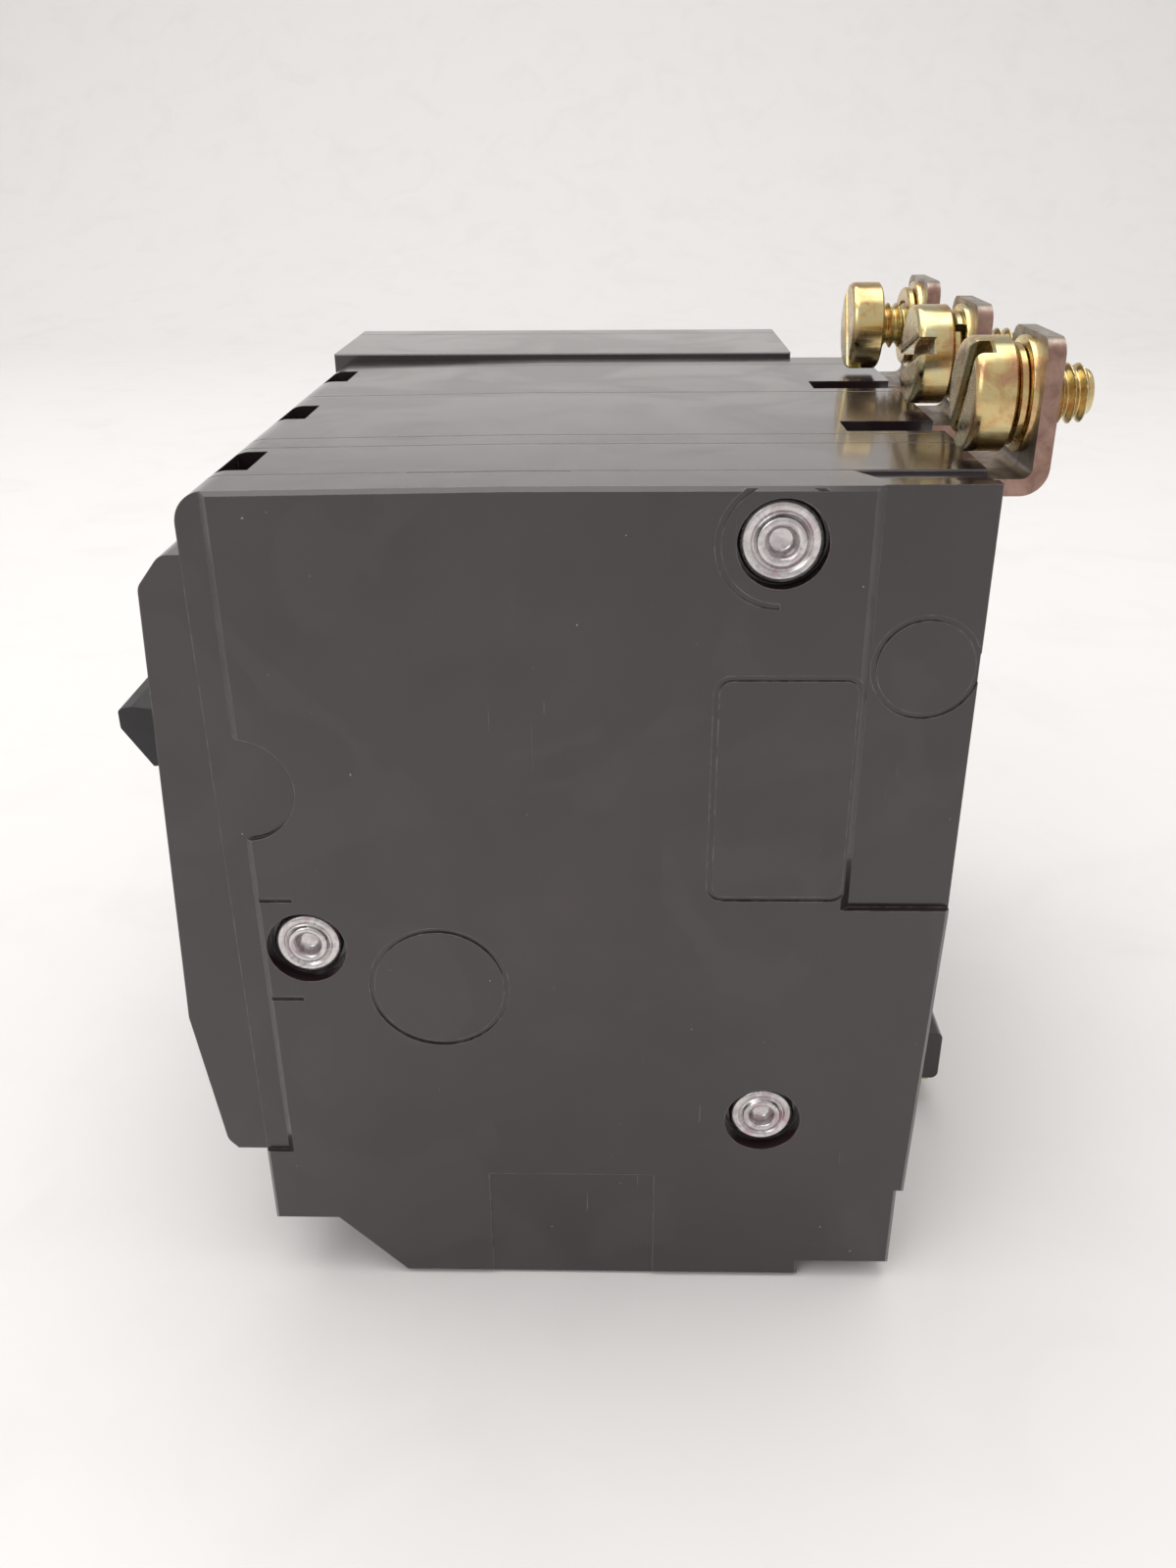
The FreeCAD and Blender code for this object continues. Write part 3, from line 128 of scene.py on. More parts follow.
def noise(tree, coords, size, detail=3.0, rough=0.55, distortion=0.0):
    """Noise whose blotches measure about `size` millimetres."""
    return add(tree, "ShaderNodeTexNoise",
               {"Scale": 1.0 / (size * MM), "Detail": detail, "Roughness": rough, "Distortion": distortion},
               {"Vector": (coords, "Object")})


def remap(tree, source, output, low, high, out_low=0.0, out_high=1.0):
    """Stretch a value from one range to another and clamp it."""
    return add(tree, "ShaderNodeMapRange",
               {"From Min": low, "From Max": high, "To Min": out_low, "To Max": out_high},
               {"Value": (source, output)})


def blend(tree, first, second, factor, factor_output="Result"):
    """Mix two colours, each a hex value or a (node, output) pair."""
    mixed = add(tree, "ShaderNodeMix", data_type="RGBA")
    for socket, colour in ((6, first), (7, second)):
        if isinstance(colour, str):
            mixed.inputs[socket].default_value = linear(colour)
        else:
            tree.links.new(colour[0].outputs[colour[1]], mixed.inputs[socket])
    tree.links.new(factor.outputs[factor_output], mixed.inputs[0])
    return mixed


def product(tree, first, second):
    """Multiply two values, each a (node, output) pair."""
    return add(tree, "ShaderNodeMath", operation="MULTIPLY", links={0: first, 1: second})


print("helpers ready")

# %% [markdown]
# ## The moulding: black-brown phenolic
#
# Breaker cases are compression moulded from a mineral-filled phenolic. It comes out of the tool a very dark brown,
# with a glossy skin, and mica and pigment leave it slightly mottled. Handling leaves faint greasy smears that change
# the gloss and a little of the colour, and pale dust in specks. Along the sharp edges a pale line is painted: partly
# a painted highlight where a rounded edge would catch the light, partly chips where the skin breaks and the paler
# filler shows. A rounded normal differs from the plain one only beside an edge, and so finds the edges.

# %% Case moulding
SCRATCH_SLANT = 0.62
SCRATCH_SIZE = 0.22 * MM
EDGE_REACH = 0.16 * MM


def moulded_case(name, dark, light, lines=()):
    """Phenolic: mottle, smears, scratches, dust specks, chipped rims under a painted edge highlight, and painted seam
    shade.

    Each line is a place along Y in millimetres; painted shade darkens a strip about 0.3 mm wide of the faces that
    look up, where a seam lies in shade.
    """
    material, tree, shader = new_finish(name)
    coords = add(tree, "ShaderNodeTexCoord")
    mottle = remap(tree, noise(tree, coords, size=7.0, detail=5.0, rough=0.6), "Fac", 0.3, 0.7)
    last = blend(tree, dark, light, mottle)

    smear = noise(tree, coords, size=16.0, rough=0.5, distortion=1.5)
    haze = remap(tree, smear, "Fac", 0.53, 0.57, out_high=0.35)
    last = blend(tree, (last, MIX_OUT), "#332c2e", haze)

    drawn = add(tree, "ShaderNodeMapping", {"Rotation": (SCRATCH_SLANT, 0.0, 0.0), "Scale": (1.0, 1.0, 0.03)},
                {"Vector": (coords, "Object")})
    streaks = add(tree, "ShaderNodeTexNoise", {"Scale": 1.0 / SCRATCH_SIZE, "Detail": 1.0}, {"Vector": (drawn, 0)})
    thin = remap(tree, streaks, "Fac", 0.765, 0.8, out_high=0.4)
    scuffed = remap(tree, noise(tree, coords, size=9.0, detail=2.0), "Fac", 0.5, 0.62)
    last = blend(tree, (last, MIX_OUT), "#857c7b", product(tree, (thin, 0), (scuffed, 0)), 0)

    specks = remap(tree, noise(tree, coords, size=0.4, detail=2.0, rough=0.5), "Fac", 0.775, 0.81, out_high=0.8)
    last = blend(tree, (last, MIX_OUT), "#a39d98", specks)

    # Painted highlight and chips: a pale line along every edge stands in for light caught by a rounded edge, and
    # noise breaks it into chips.
    rounded = add(tree, "ShaderNodeBevel", {"Radius": EDGE_REACH}, samples=6)
    plain = add(tree, "ShaderNodeNewGeometry")
    agree = add(tree, "ShaderNodeVectorMath", operation="DOT_PRODUCT", links={0: (rounded, 0), 1: (plain, "Normal")})
    rim = remap(tree, agree, "Value", 0.8, 0.985, out_low=1.0, out_high=0.0)
    chips_and_highlight = remap(tree, noise(tree, coords, size=1.1, detail=5.0, rough=0.75), "Fac", 0.44, 0.64, out_low=0.2)
    last = blend(tree, (last, MIX_OUT), "#746b69", product(tree, (rim, 0), (chips_and_highlight, 0)), 0)

    # Painted shade: near-black strips across the top faces, where the seams would be in shade.
    if lines:
        place = add(tree, "ShaderNodeSeparateXYZ", links={0: (coords, "Object")})
        facing = add(tree, "ShaderNodeSeparateXYZ", links={0: (coords, "Normal")})
        up = remap(tree, facing, 2, 0.8, 0.9)
    for along in lines:
        off = add(tree, "ShaderNodeMath", {1: along * MM}, operation="SUBTRACT", links={0: (place, 1)})
        away = add(tree, "ShaderNodeMath", operation="ABSOLUTE", links={0: (off, 0)})
        near = remap(tree, away, 0, 0.07 * MM, 0.19 * MM, out_low=0.9, out_high=0.0)
        last = blend(tree, (last, MIX_OUT), "#0d0b0c", product(tree, (near, 0), (up, 0)), 0)

    join(tree, last, MIX_OUT, shader, "Base Color")
    gloss = remap(tree, smear, "Fac", 0.4, 0.6, out_low=0.17, out_high=0.27)
    join(tree, gloss, 0, shader, "Roughness")
    grain = noise(tree, coords, size=0.35, rough=0.6)
    bump = add(tree, "ShaderNodeBump", {"Strength": 0.1, "Distance": 0.012 * MM}, {"Height": (grain, "Fac")})
    join(tree, bump, 0, shader, "Normal")
    shader.inputs["IOR"].default_value = 1.55
    shader.inputs["Coat Weight"].default_value = 0.5
    shader.inputs["Coat Roughness"].default_value = 0.08
    return material


CASE_DARK = "#1f1518"
CASE_LIGHT = "#2b1f23"
# Places along Y of the painted seam shade on each top face.
TOP_SEAM_SHADE = {
    "near_cover": (-9.6,), "pole_1_case": (-11.8, -2.7, 10.2), "pole_2_cover": (-10.2, 10.0),
    "pole_2_case": (-10.2, -1.3, 10.1), "pole_3_case": (-10.0, -1.6, 10.0), "end_cover": (), "module_case": (),
    "module_cover": (),
}
case_finishes = {}
for node_name, seam_shade_places in TOP_SEAM_SHADE.items():
    case_finishes[node_name] = moulded_case("phenolic_" + node_name, CASE_DARK, CASE_LIGHT, seam_shade_places)
print("phenolic finishes:", len(case_finishes))

# %% [markdown]
# ## Small plastics
#
# The handle is moulded from a glass-filled nylon, so it is blacker and a little duller than the case and has almost
# no mottle. The push button and the trip bar are paler mouldings, the circuit board is green and the transformer's
# ring is varnished. One function makes all of them, because they differ only in colour, gloss and grain.

# %% Moulded plastics
def plastic(name, dark, light, rough, blotch=4.0, grain=0.4):
    """Injection-moulded plastic: two close tones, fine orange-peel grain."""
    material, tree, shader = new_finish(name)
    coords = add(tree, "ShaderNodeTexCoord")
    tone = remap(tree, noise(tree, coords, blotch), "Fac", 0.35, 0.65)
    join(tree, blend(tree, dark, light, tone), MIX_OUT, shader, "Base Color")
    rub = noise(tree, coords, size=2.5, detail=4.0)
    join(tree, remap(tree, rub, "Fac", 0.3, 0.7, rough - 0.05, rough + 0.08), 0, shader, "Roughness")
    bump = add(tree, "ShaderNodeBump", {"Strength": 0.1, "Distance": 0.02 * MM},
               {"Height": (noise(tree, coords, grain), "Fac")})
    join(tree, bump, 0, shader, "Normal")
    return material


handle_nylon = plastic("handle_nylon", "#161517", "#222023", 0.36)
button_nylon = plastic("button_nylon", "#cfc6a2", "#dbd3b2", 0.34)
bar_moulding = plastic("trip_bar_moulding", "#b7b0a2", "#c7c1b4", 0.5)
board_resist = plastic("board_resist", "#1f4f2b", "#2b6638", 0.3, blotch=1.5, grain=0.3)
ring_varnish = plastic("ring_varnish", "#3a2a1c", "#54402c", 0.28, blotch=1.0, grain=0.5)
print("plastics ready")

# %% [markdown]
# ## Plated and bare metals
#
# The terminal screws and washers are steel with yellow zinc chromate. The chromate film is thinner than the wave
# length of light in places, so the gold drifts to pink, green and straw. The straps are copper under a thin tin
# plate: the faces are dull grey, and the sheared edges show the copper, browned by the air. The rivets are zinc
# plated steel with a bright rolled rim. A metal keeps the default index and is told apart by its base colour.

# %% Metals
def metal(name, tones, rough, blotch, scratch=0.25, bump_depth=0.006):
    """Plated metal: a noise walks through the tones, fine scratches change the gloss."""
    material, tree, shader = new_finish(name)
    coords = add(tree, "ShaderNodeTexCoord")
    patch = noise(tree, coords, size=blotch, detail=4.0, rough=0.6, distortion=0.8)
    ramp = add(tree, "ShaderNodeValToRGB", links={"Fac": (remap(tree, patch, "Fac", 0.28, 0.72), 0)})
    elements = ramp.color_ramp.elements
    for index, tone in enumerate(tones):
        spot = index / (len(tones) - 1)
        element = elements[index] if index < 2 else elements.new(spot)
        element.position = spot
        element.color = linear(tone)
    join(tree, ramp, 0, shader, "Base Color")
    shader.inputs["Metallic"].default_value = 1.0
    stretch = add(tree, "ShaderNodeMapping", {"Scale": (1.0, 0.12, 1.0)}, {"Vector": (coords, "Object")})
    lines = add(tree, "ShaderNodeTexNoise", {"Scale": 1.0 / (scratch * MM), "Detail": 3.0},
                {"Vector": (stretch, 0)})
    join(tree, remap(tree, lines, "Fac", 0.3, 0.75, rough - 0.07, rough + 0.12), 0, shader, "Roughness")
    bump = add(tree, "ShaderNodeBump", {"Strength": 0.35, "Distance": bump_depth * MM}, {"Height": (lines, "Fac")})
    join(tree, bump, 0, shader, "Normal")
    return material


def tinned_copper(name):
    """Tin over copper: grey where the sheet's faces are, copper on the sheared sides, by the surface's normal."""
    material, tree, shader = new_finish(name)
    coords = add(tree, "ShaderNodeTexCoord")
    facing = add(tree, "ShaderNodeSeparateXYZ", links={0: (coords, "Normal")})
    side = add(tree, "ShaderNodeMath", operation="ABSOLUTE", links={0: (facing, 0)})
    stain = noise(tree, coords, size=1.4, detail=5.0, rough=0.65, distortion=0.6)
    cover = remap(tree, stain, "Fac", 0.3, 0.7)
    tin = blend(tree, "#b3aba3", "#82776f", cover)
    copper = blend(tree, "#a98c80", "#86695e", cover)
    bare = remap(tree, side, 0, 0.5, 0.8)
    shade = blend(tree, (tin, MIX_OUT), (copper, MIX_OUT), bare)
    rubbed = remap(tree, noise(tree, coords, size=0.8), "Fac", 0.6, 0.72, out_high=0.35)
    join(tree, blend(tree, (shade, MIX_OUT), "#b08a76", rubbed), MIX_OUT, shader, "Base Color")
    shader.inputs["Metallic"].default_value = 1.0
    join(tree, remap(tree, stain, "Fac", 0.3, 0.7, out_low=0.33, out_high=0.5), 0, shader, "Roughness")
    drag = add(tree, "ShaderNodeMapping", {"Scale": (0.15, 1.0, 0.15)}, {"Vector": (coords, "Object")})
    lines = add(tree, "ShaderNodeTexNoise", {"Scale": 1.0 / (0.12 * MM), "Detail": 2.0}, {"Vector": (drag, 0)})
    bump = add(tree, "ShaderNodeBump", {"Strength": 0.3, "Distance": 0.01 * MM}, {"Height": (lines, "Fac")})
    join(tree, bump, 0, shader, "Normal")
    return material


yellow_zinc = metal("yellow_zinc", ["#b98a70", "#c2a172", "#d2bb86", "#c4bd95", "#d3c7ab"], 0.22, 2.6,
                    scratch=0.4, bump_depth=0.002)
strap_finish = tinned_copper("tinned_copper")
rivet_zinc = metal("rivet_zinc", ["#c3a2a9", "#bbb5b7", "#d5d1d0", "#a09ba2"], 0.2, 1.4,
                   scratch=0.4, bump_depth=0.003)
clear_zinc = metal("clear_zinc", ["#9d9fa3", "#bcbdbf", "#d2d3d3"], 0.33, 2.5)
bare_copper = metal("bare_copper", ["#9b5a3c", "#c27a55", "#d89672"], 0.3, 3.0)
lug_metal = metal("lug_aluminium", ["#a5a7a8", "#c3c4c4", "#b3b4b6"], 0.38, 3.0)
strip_metal = metal("bimetal_strip", ["#8f8677", "#a79d8b", "#bdb5a6"], 0.34, 3.0)
print("metals ready")

# %% Give every frame node its finish
FINISHES = [
    (("handle",), handle_nylon), (("test_button",), button_nylon), (("trip_bar",), bar_moulding),
    (("circuit_board",), board_resist), (("current_transformer",), ring_varnish),
    (("line_strap",), strap_finish), (("rail_clip", "line_screw", "lock_washer", "flat_washer"), yellow_zinc),
    (("case_rivets",), rivet_zinc), (("load_lug",), lug_metal), (("bimetal",), strip_metal),
    (("contact_arm", "trip_solenoid"), bare_copper),
    (("trip_lever", "magnet_yoke", "arc_chute", "toggle_spring", "trip_plunger", "test_spring", "lug_screw"),
     clear_zinc),
]


def finish_of(node_name):
    """The material that a frame node gets."""
    if node_name in case_finishes:
        return case_finishes[node_name]
    for starts, material in FINISHES:
        if node_name.startswith(starts):
            return material
    return case_finishes["pole_2_case"]


for node_name, item in frame["nodes"].items():
    item.data.materials.clear()
    item.data.materials.append(finish_of(node_name))
print("finished nodes:", len(frame["nodes"]))

# %% [markdown]
# ## Surfaces from numbers
#
# A turned, rolled or swept piece is a grid of points: one parameter goes round, the other goes along. The points
# come as one array, and the faces follow from the grid's own order. A piece may be several such grids in one mesh,
# as a screw is a thread and a head. Rows that shrink to a point close the ends, and the doubled points are merged.

# %% Grids to meshes
MERGE = 1e-7
SHARP = math.radians(32)


def circle(count):
    """Angles round a full turn without the last, which would be the first again."""
    return np.linspace(0.0, 2.0 * math.pi, count, endpoint=False)


def grid_faces(rows, columns, offset, wrap):
    """Quads between neighbouring rows and columns; the last column joins the first when wrap is true."""
    row, column = np.meshgrid(np.arange(rows - 1), np.arange(columns if wrap else columns - 1), indexing="ij")
    after = (column + 1) % columns
    first = row * columns + column
    second = row * columns + after
    quads = np.stack([first, second, second + columns, first + columns], axis=-1).reshape(-1, 4)
    return quads + offset


def build(name, grids, material, body, replaced=()):
    """One object from a list of (points, wrap) grids; points are rows x columns x 3 in metres."""
    points, faces, offset = [], [], 0
    for grid, wrap in grids:
        rows, columns, _ = grid.shape
        points.append(grid.reshape(-1, 3))
        faces.append(grid_faces(rows, columns, offset, wrap))
        offset += rows * columns
    mesh = bpy.data.meshes.new(name)
    mesh.from_pydata(np.concatenate(points).tolist(), [], np.concatenate(faces).tolist())
    work = bmesh.new()
    work.from_mesh(mesh)
    bmesh.ops.remove_doubles(work, verts=work.verts, dist=MERGE)
    bmesh.ops.dissolve_degenerate(work, dist=MERGE, edges=work.edges)
    bmesh.ops.recalc_face_normals(work, faces=work.faces)
    work.to_mesh(mesh)
    work.free()
    mesh.shade_smooth()
    mesh.set_sharp_from_angle(angle=SHARP)
    mesh.materials.append(material)
    piece = bpy.data.objects.new(name, mesh)
    bpy.context.scene.collection.objects.link(piece)
    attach(piece, body)
    if replaced:
        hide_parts(*replaced)
    print(name, len(mesh.polygons), "faces")
    return piece


def turned_y(radii, places, centre, columns=72):
    """Points of a profile turned about an axis along Y: x = r sin a, z = r cos a, y = place."""
    angle = circle(columns)
    radii = np.asarray(radii)[:, None]
    places = np.broadcast_to(np.asarray(places)[:, None], (len(places), columns))
    return np.stack([centre[0] + radii * np.sin(angle), places, centre[2] + radii * np.cos(angle)], axis=-1)


# %% [markdown]
# ## Terminal screws
#
# The line screws are slotted fillister screws with a rolled number 8 thread. Rolling pushes the metal up into round
# crests, so the thread is a radius that goes up and down like a softened wave with the distance along the helix. The
# head is a short drum with two half-moon lugs in front, and the gap between the lugs is the driver's slot. The slot
# stands at a different angle on each screw, as a hand leaves them.

# %% Screw surfaces
THREAD_PITCH = 0.794 * MM
THREAD_DEPTH = 0.46 * MM
SLOT_WIDTH = 1.35 * MM
SLOT_DEPTH = 1.25 * MM
HEAD_LENGTH = 2.9 * MM
HEAD_EDGE = 0.62 * MM
HEAD_SOFT = 0.18 * MM
NECK_SHARE = 0.8
TIP_TAPER = 0.7 * MM
TIP_BEVEL = 0.35 * MM
TIP_SHARE = 0.86
LUG_SUNK = 0.2 * MM
LUG_MIDDLE = 0.52
LUG_FLAT = 0.4
WALL_LEAN = 0.25


def thread_grid(centre, start, end, radius, columns=72, steps=26):
    """Rolled thread: r = crest - depth * w(phase), phase = place / pitch - angle / turn, faded at the tip.

    w is a rounded wave, (0.5 + 0.5 cos) to the power 0.8, so that crests are round and roots a little wider.
    """
    rows = int((end - start) / THREAD_PITCH * steps)
    place = np.linspace(start, end, rows)[:, None]
    angle = circle(columns)[None, :]
    phase = place / THREAD_PITCH - angle / (2.0 * math.pi)
    wave = (0.5 + 0.5 * np.cos(2.0 * math.pi * phase)) ** 0.8
    fade = np.clip((end - place) / TIP_TAPER, 0.0, 1.0) ** 0.6
    radial = (radius - THREAD_DEPTH) + THREAD_DEPTH * (1.0 - wave) * fade
    radial = radial * (TIP_SHARE + (1.0 - TIP_SHARE) * np.clip((end - place) / TIP_BEVEL, 0.0, 1.0))
    points = np.stack([centre[0] + radial * np.sin(angle), np.broadcast_to(place, radial.shape),
                       centre[2] + radial * np.cos(angle)], axis=-1)
    tip = np.broadcast_to(np.array([centre[0], end, centre[2]]), (1, columns, 3))
    neck = np.broadcast_to(np.array([centre[0], start, centre[2]]), (1, columns, 3))
    return np.concatenate([neck, points, tip])


def lug_grid(centre, front, radius, side, tilt):
    """Half-moon lug: an arc closed by the slot's wall, carried up its height and in over a rounded edge.

    It starts a little inside the drum, and its outline shrinks towards the lug's own middle as it rises.
    """
    reach = math.asin(SLOT_WIDTH / 2 / radius)
    arc = np.linspace(reach, math.pi - reach, 34)
    chord = np.linspace(math.pi - reach, reach, 14)[1:-1]
    outline_x = np.concatenate([radius * np.cos(arc), radius * np.cos(chord)])
    outline_z = np.concatenate([radius * np.sin(arc), np.full(len(chord), SLOT_WIDTH / 2)])
    turn = np.linspace(0.0, math.pi / 2, 7)
    inset = np.concatenate([[0.0], HEAD_EDGE * (1 - np.cos(turn)), [radius * LUG_FLAT]])
    height = np.concatenate([[front + SLOT_DEPTH + LUG_SUNK], front + HEAD_EDGE * (1 - np.sin(turn)), [front]])
    middle_z = radius * LUG_MIDDLE
    shrink = 1.0 - inset[:, None] / radius
    local_x = outline_x[None, :] * shrink
    local_z = middle_z + (outline_z[None, :] - middle_z) * shrink
    wall = np.isclose(outline_z, SLOT_WIDTH / 2)[None, :] & (np.arange(len(inset)) <= len(turn))[:, None]
    local_z = np.where(wall, SLOT_WIDTH / 2 + inset[:, None] * WALL_LEAN, local_z) * side
    x = centre[0] + local_x * math.cos(tilt) - local_z * math.sin(tilt)
    z = centre[2] + local_x * math.sin(tilt) + local_z * math.cos(tilt)
    y = np.broadcast_to(height[:, None], x.shape)
    points = np.stack([x, y, z], axis=-1)
    cap = np.broadcast_to(points[-1].mean(axis=0), (1, points.shape[1], 3))
    foot = np.broadcast_to(points[0].mean(axis=0), (1, points.shape[1], 3))
    return np.concatenate([foot, points, cap])


def line_screw(number, tilt):
    """Thread, drum of the head and two lugs, in place of the frame's plain screw."""
    node = f"line_screw_{number}"
    low, high = corners(node)
    centre = (low + high) / 2
    radius = (high[2] - low[2]) / 2
    front, rear, end = low[1], low[1] + HEAD_LENGTH, high[1]
    slot_floor = front + SLOT_DEPTH
    inner = radius - HEAD_SOFT
    drum = turned_y([0.0, inner, radius, radius, inner, STUD_RADIUS * NECK_SHARE, 0.0],
                    [slot_floor, slot_floor, slot_floor + HEAD_SOFT, rear - HEAD_SOFT, rear, rear, rear], centre)
    grids = [(drum, True), (thread_grid(centre, rear - HEAD_SOFT, end, STUD_RADIUS), True)]
    grids += [(lug_grid(centre, front, radius, side, tilt), True) for side in (1.0, -1.0)]
    return build(f"terminal_screw_{number}", grids, yellow_zinc, node, (node,))


SLOT_TILTS = {1: math.radians(62), 2: math.radians(18), 3: math.radians(118)}
for number in POLES:
    line_screw(number, SLOT_TILTS[number])

# %% [markdown]
# ## Washers
#
# A split lock washer is a square bar wound one turn and cut, so its ends stand apart and a little out of line. It is
# swept as a square section with cut corners along almost a full circle that also climbs along the axis. The flat
# washer is punched, which rolls one rim over and leaves the other sharp.

# %% Washer surfaces
HOLE_CLEAR = 0.2 * MM
RIM_INSET = 0.25 * MM
BAR_EDGE = 0.12 * MM
BAR_SHARE = 0.34
CLIMB_SHARE = 0.3
GAP_ANGLE = 0.11
PUNCH_ROLL = 0.16 * MM


def lock_washer(number, gap_at):
    """A square section with cut corners, carried round a circle short of its gap while it climbs along the axis."""
    node = f"lock_washer_{number}"
    low, high = corners(node)
    centre = (low + high) / 2
    outer = (high[2] - low[2]) / 2 - RIM_INSET
    inner = STUD_RADIUS + HOLE_CLEAR
    thick = high[1] - low[1]
    turn = np.linspace(GAP_ANGLE, 2.0 * math.pi - GAP_ANGLE, 90)[:, None] + gap_at
    half_r, half_y = (outer - inner) / 2, thick * BAR_SHARE
    flat_r, flat_y = half_r - BAR_EDGE, half_y - BAR_EDGE
    ring_r = np.array([-half_r, -flat_r, flat_r, half_r, half_r, flat_r, -flat_r, -half_r])
    ring_y = np.array([-flat_y, -half_y, -half_y, -flat_y, flat_y, half_y, half_y, flat_y])
    climb = (turn - gap_at - math.pi) / (2.0 * math.pi) * thick * CLIMB_SHARE
    radial = (outer + inner) / 2 + ring_r[None, :]
    points = np.stack([centre[0] + radial * np.sin(turn), centre[1] + climb + ring_y[None, :],
                       centre[2] + radial * np.cos(turn)], axis=-1)
    ends = [np.broadcast_to(points[k].mean(axis=0), (1, points.shape[1], 3)) for k in (0, -1)]
    closed = np.concatenate([ends[0], points, ends[1]])
    return build(f"spring_washer_{number}", [(closed, True)], yellow_zinc, "case", (node,))


def flat_washer(number):
    """A punched ring: a profile with one rolled rim, turned about Y."""
    node = f"flat_washer_{number}"
    low, high = corners(node)
    centre = (low + high) / 2
    outer = (high[2] - low[2]) / 2
    inner = STUD_RADIUS + HOLE_CLEAR
    front, rear = low[1], high[1]
    knee = PUNCH_ROLL * 0.3
    ring = turned_y([inner, inner, outer - PUNCH_ROLL, outer - knee, outer, outer, inner],
                    [rear, front, front, front + knee, front + PUNCH_ROLL, rear, rear], centre)
    return build(f"plain_washer_{number}", [(ring, True)], yellow_zinc, "case", (node,))


GAP_PLACES = {1: 2.5, 2: 0.8, 3: 4.0}
for number in POLES:
    lock_washer(number, GAP_PLACES[number])
for number in POLES:
    flat_washer(number)

# %% [markdown]
# ## Rolled rivets
#
# Three tubular rivets clamp the stack. The tool rolls each tube end outwards, which leaves a smooth round rim with a
# dimple in the middle. Turned about X, the profile goes from the dimple's floor up its wall, over the rolled rim and
# down under it. The upper rivet is a size larger than the others.

# %% Rivet surfaces
RIVET_REACH = 8 * MM
SHANK_INSET = 0.9 * MM
SHANK_RADIUS = 2.2 * MM
SHANK_COLUMNS = 32


def rivet_spots():
    """Centres and head radii of the three rivets, and the two ends of the stack, from the frame's rivet mesh."""
    mesh = frame["nodes"]["case_rivets"].data
    points = np.empty(len(mesh.vertices) * 3)
    mesh.vertices.foreach_get("co", points)
    points = points.reshape(-1, 3)
    seeds = points[np.argmax(points[:, 2])], points[np.argmin(points[:, 1])], points[np.argmin(points[:, 2])]
    spots = []
    for seed in seeds:
        near = np.hypot(points[:, 1] - seed[1], points[:, 2] - seed[2]) < RIVET_REACH
        low, high = points[near].min(axis=0), points[near].max(axis=0)
        spots.append(((low + high) / 2, (high[2] - low[2]) / 2))
    return spots, points[:, 0].min(), points[:, 0].max()


RIVET_SHARES = np.array([0.0, 0.26, 0.33, 0.38, 0.47, 0.56, 0.63, 0.67, 0.74, 0.84, 0.94, 1.0, 1.0, 0.93, 0.72])
RIVET_RISES = np.array([-1.15, -1.1, -0.75, -0.16, 0.0, -0.05, -0.3, -0.38, -0.2, -0.14, -0.26, -0.5, -0.72, -0.92,
                        -1.1])


def rivet_grid(middle, head, face_x, side, columns=72, finer=4):
    """Rolled head as a profile of radius share and rise, softened: x = face + side * rise, turned about X.

    From the middle out: the dimple, its wall, the rolled ring, a groove, the flange and the flange's underside.
    """
    knots = np.arange(len(RIVET_SHARES))
    fine = np.linspace(0, len(knots) - 1, (len(knots) - 1) * finer + 1)
    smooth = np.array([0.25, 0.5, 0.25])
    radii = np.interp(fine, knots, RIVET_SHARES) * head
    rise = np.interp(fine, knots, RIVET_RISES) * MM
    radii[1:-1] = np.convolve(radii, smooth, mode="valid")
    rise[1:-1] = np.convolve(rise, smooth, mode="valid")
    angle = circle(columns)[None, :]
    x = np.broadcast_to(face_x + side * rise[:, None], (len(rise), columns))
    return np.stack([x, middle[1] + radii[:, None] * np.sin(angle), middle[2] + radii[:, None] * np.cos(angle)],
                    axis=-1)


def shank_grid(middle, start, end):
    """The rivet's tube between its heads, as two rings about X."""
    angle = circle(SHANK_COLUMNS)
    rings = [np.stack([np.full(SHANK_COLUMNS, x), middle[1] + SHANK_RADIUS * np.sin(angle),
                       middle[2] + SHANK_RADIUS * np.cos(angle)], axis=-1) for x in (start, end)]
    return np.stack(rings)


spots, far_end, near_end = rivet_spots()
rivet_grids = []
for middle, head in spots:
    for face_x, side in ((near_end, 1.0), (far_end, -1.0)):
        rivet_grids.append((rivet_grid(middle, head, face_x, side), True))
    rivet_grids.append((shank_grid(middle, far_end + SHANK_INSET, near_end - SHANK_INSET), True))
build("rolled_rivets", rivet_grids, rivet_zinc, "case", ("case_rivets",))

# %% [markdown]
# ## Floor and sweep
#
# The breaker stands on a pale sheet that sweeps up behind it without a corner. The sheet is one surface: a flat
# stretch, a quarter circle and a wall, carried sideways. It is not part of the object.

# %% Floor
def sweep_sheet(name, width, front, back, bend, wall, drop):
    """Profile of floor, quarter circle and wall, carried along Y; it lies `drop` below the object's foot."""
    turn = np.linspace(0.0, math.pi / 2, 24)
    across = np.concatenate([[front], back - bend * np.sin(turn), [back - bend]])
    up = np.concatenate([[0.0], bend * (1 - np.cos(turn)), [wall]]) - drop
    side = np.linspace(-width / 2, width / 2, 2)
    points = np.stack([np.broadcast_to(across[:, None], (len(across), 2)),
                       np.broadcast_to(side[None, :], (len(across), 2)),
                       np.broadcast_to(up[:, None], (len(across), 2))], axis=-1)
    mesh = bpy.data.meshes.new(name)
    mesh.from_pydata(points.reshape(-1, 3).tolist(), [], grid_faces(len(across), 2, 0, False).tolist())
    mesh.shade_smooth()
    sheet = bpy.data.objects.new(name, mesh)
    bpy.context.scene.collection.objects.link(sheet)
    return sheet


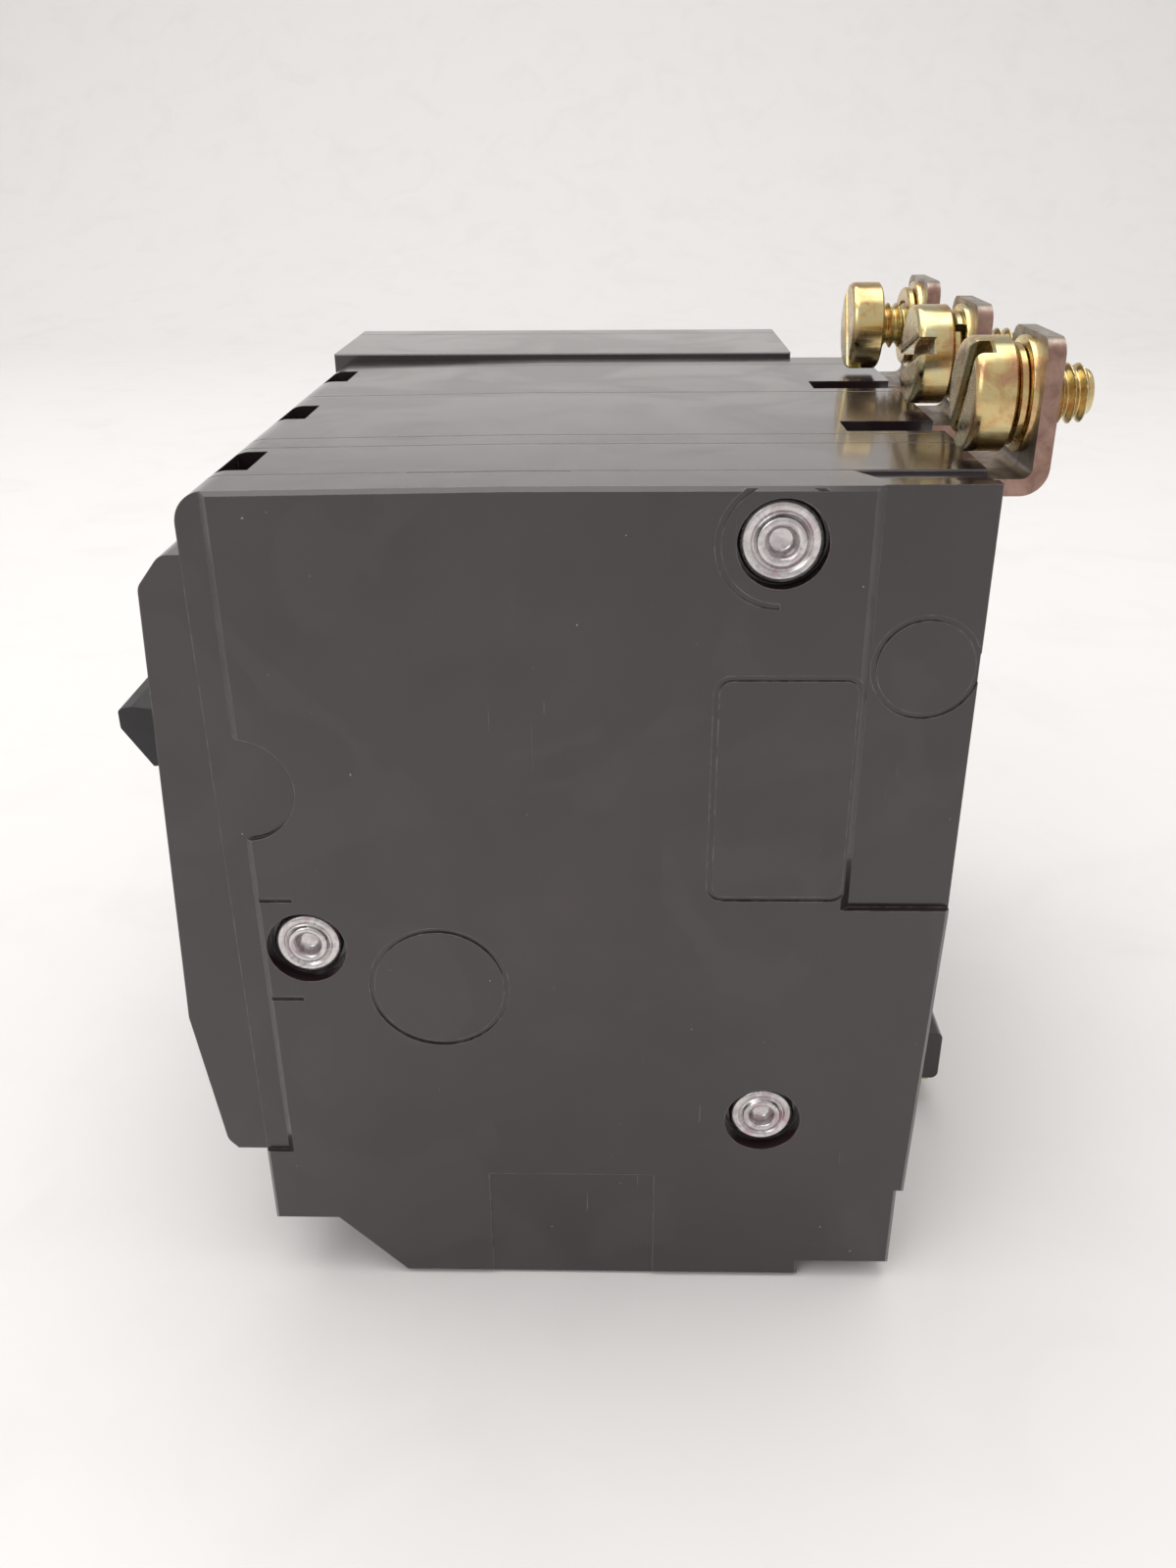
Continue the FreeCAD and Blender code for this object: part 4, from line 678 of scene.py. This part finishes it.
def paper(name):
    """Pale matt paper with very faint smudges."""
    material, tree, shader = new_finish(name)
    coords = add(tree, "ShaderNodeTexCoord")
    smudge = remap(tree, noise(tree, coords, size=22.0, detail=4.0, distortion=0.8), "Fac", 0.5, 0.75, out_high=0.35)
    join(tree, blend(tree, "#e3e1e2", "#d8d6d7", smudge), MIX_OUT, shader, "Base Color")
    shader.inputs["Roughness"].default_value = 0.6
    shader.inputs["Specular IOR Level"].default_value = 0.3
    return material


floor = sweep_sheet("floor", width=3.0, front=0.9, back=-0.55, bend=0.35, wall=1.6, drop=0.0002)
floor.data.materials.append(paper("pale_paper"))
print("floor ready")

# %% [markdown]
# ## Light and camera
#
# The light is soft daylight from above and a little from the left, with the pale room giving most of the fill. The
# pale walls and two large area lamps make the broad, soft reflections on the top of the case and the highlights on
# the screws. The camera looks down by 26 degrees from in front of the near cover, with a short lens.

# %% Lights
def area_light(name, place, target, size, power, colour):
    """A square lamp at a place, turned to face a target."""
    lamp = bpy.data.lights.new(name, "AREA")
    lamp.shape = "RECTANGLE"
    lamp.size, lamp.size_y = size, size
    lamp.energy = power
    lamp.color = linear(colour)[:3]
    item = bpy.data.objects.new(name, lamp)
    item.rotation_euler = (Vector(target) - Vector(place)).to_track_quat("-Z", "Y").to_euler()
    item.location = place
    bpy.context.scene.collection.objects.link(item)


area_light("sky_panel", (-0.10, -0.10, 0.75), (0.0, 0.0, 0.03), size=0.8, power=4.2, colour="#fffdf8")
area_light("side_panel", (0.55, -0.45, 0.55), (0.0, 0.0, 0.04), size=0.5, power=1.3, colour="#ffffff")
print("lamps:", len(bpy.data.lights))

# %% Room
# Matt surfaces are lit by a room that is dim low down and pale above. The camera, mirror reflections and what is seen
# through glass show plain pale walls.
world = bpy.data.worlds.new("pale_room")
world.use_nodes = True
bpy.context.scene.world = world
world_tree = world.node_tree
world_tree.nodes.clear()
direction = add(world_tree, "ShaderNodeTexCoord")
height = add(world_tree, "ShaderNodeSeparateXYZ", links={0: (direction, "Generated")})
above = remap(world_tree, height, 2, -0.15, 0.45)
shade = blend(world_tree, "#3d3b3a", "#fbfaf6", above)
seen = add(world_tree, "ShaderNodeLightPath")
backdrop = (seen, "Is Camera Ray")
for kind in ("Is Glossy Ray", "Is Transmission Ray"):
    backdrop = (add(world_tree, "ShaderNodeMath", operation="MAXIMUM", links={0: backdrop, 1: (seen, kind)}), 0)
colour = blend(world_tree, (shade, MIX_OUT), "#e4e3e1", *backdrop)
room = add(world_tree, "ShaderNodeBackground", {"Strength": 0.9}, {"Color": (colour, MIX_OUT)})
add(world_tree, "ShaderNodeOutputWorld", links={"Surface": (room, 0)})
print("room ready")

# %% Camera
CAMERA_PLACE = np.array([124.4, 2.3, 91.6]) * MM
PITCH, YAW, ROLL = math.radians(26.20), math.radians(-1.45), math.radians(-0.48)
LENS, SENSOR = 30.03, 36.0
CLIP_START = 0.005


def camera_axes(pitch, yaw, roll):
    """Right, up and back axes of a camera that looks along -X, turned by yaw, pitched down, then rolled."""
    ahead = np.array([-math.cos(yaw), math.sin(yaw), 0.0])
    right = np.array([math.sin(yaw), math.cos(yaw), 0.0])
    up = np.array([0.0, 0.0, 1.0])
    ahead_down = ahead * math.cos(pitch) - up * math.sin(pitch)
    up_down = up * math.cos(pitch) + ahead * math.sin(pitch)
    right_rolled = right * math.cos(roll) + up_down * math.sin(roll)
    up_rolled = -right * math.sin(roll) + up_down * math.cos(roll)
    return right_rolled, up_rolled, -ahead_down


camera_data = bpy.data.cameras.new("camera")
camera_data.sensor_fit = "VERTICAL"
camera_data.sensor_height = SENSOR
camera_data.lens = LENS
camera_data.clip_start = CLIP_START
camera = bpy.data.objects.new("camera", camera_data)
turned = np.eye(4)
turned[:3, :3] = np.stack(camera_axes(PITCH, YAW, ROLL), axis=1)
turned[:3, 3] = CAMERA_PLACE
camera.matrix_world = Matrix(turned.tolist())
bpy.context.scene.collection.objects.link(camera)
bpy.context.scene.camera = camera
bpy.context.scene.view_settings.view_transform = "Standard"
print("camera at", (CAMERA_PLACE / MM).round(1), "mm")
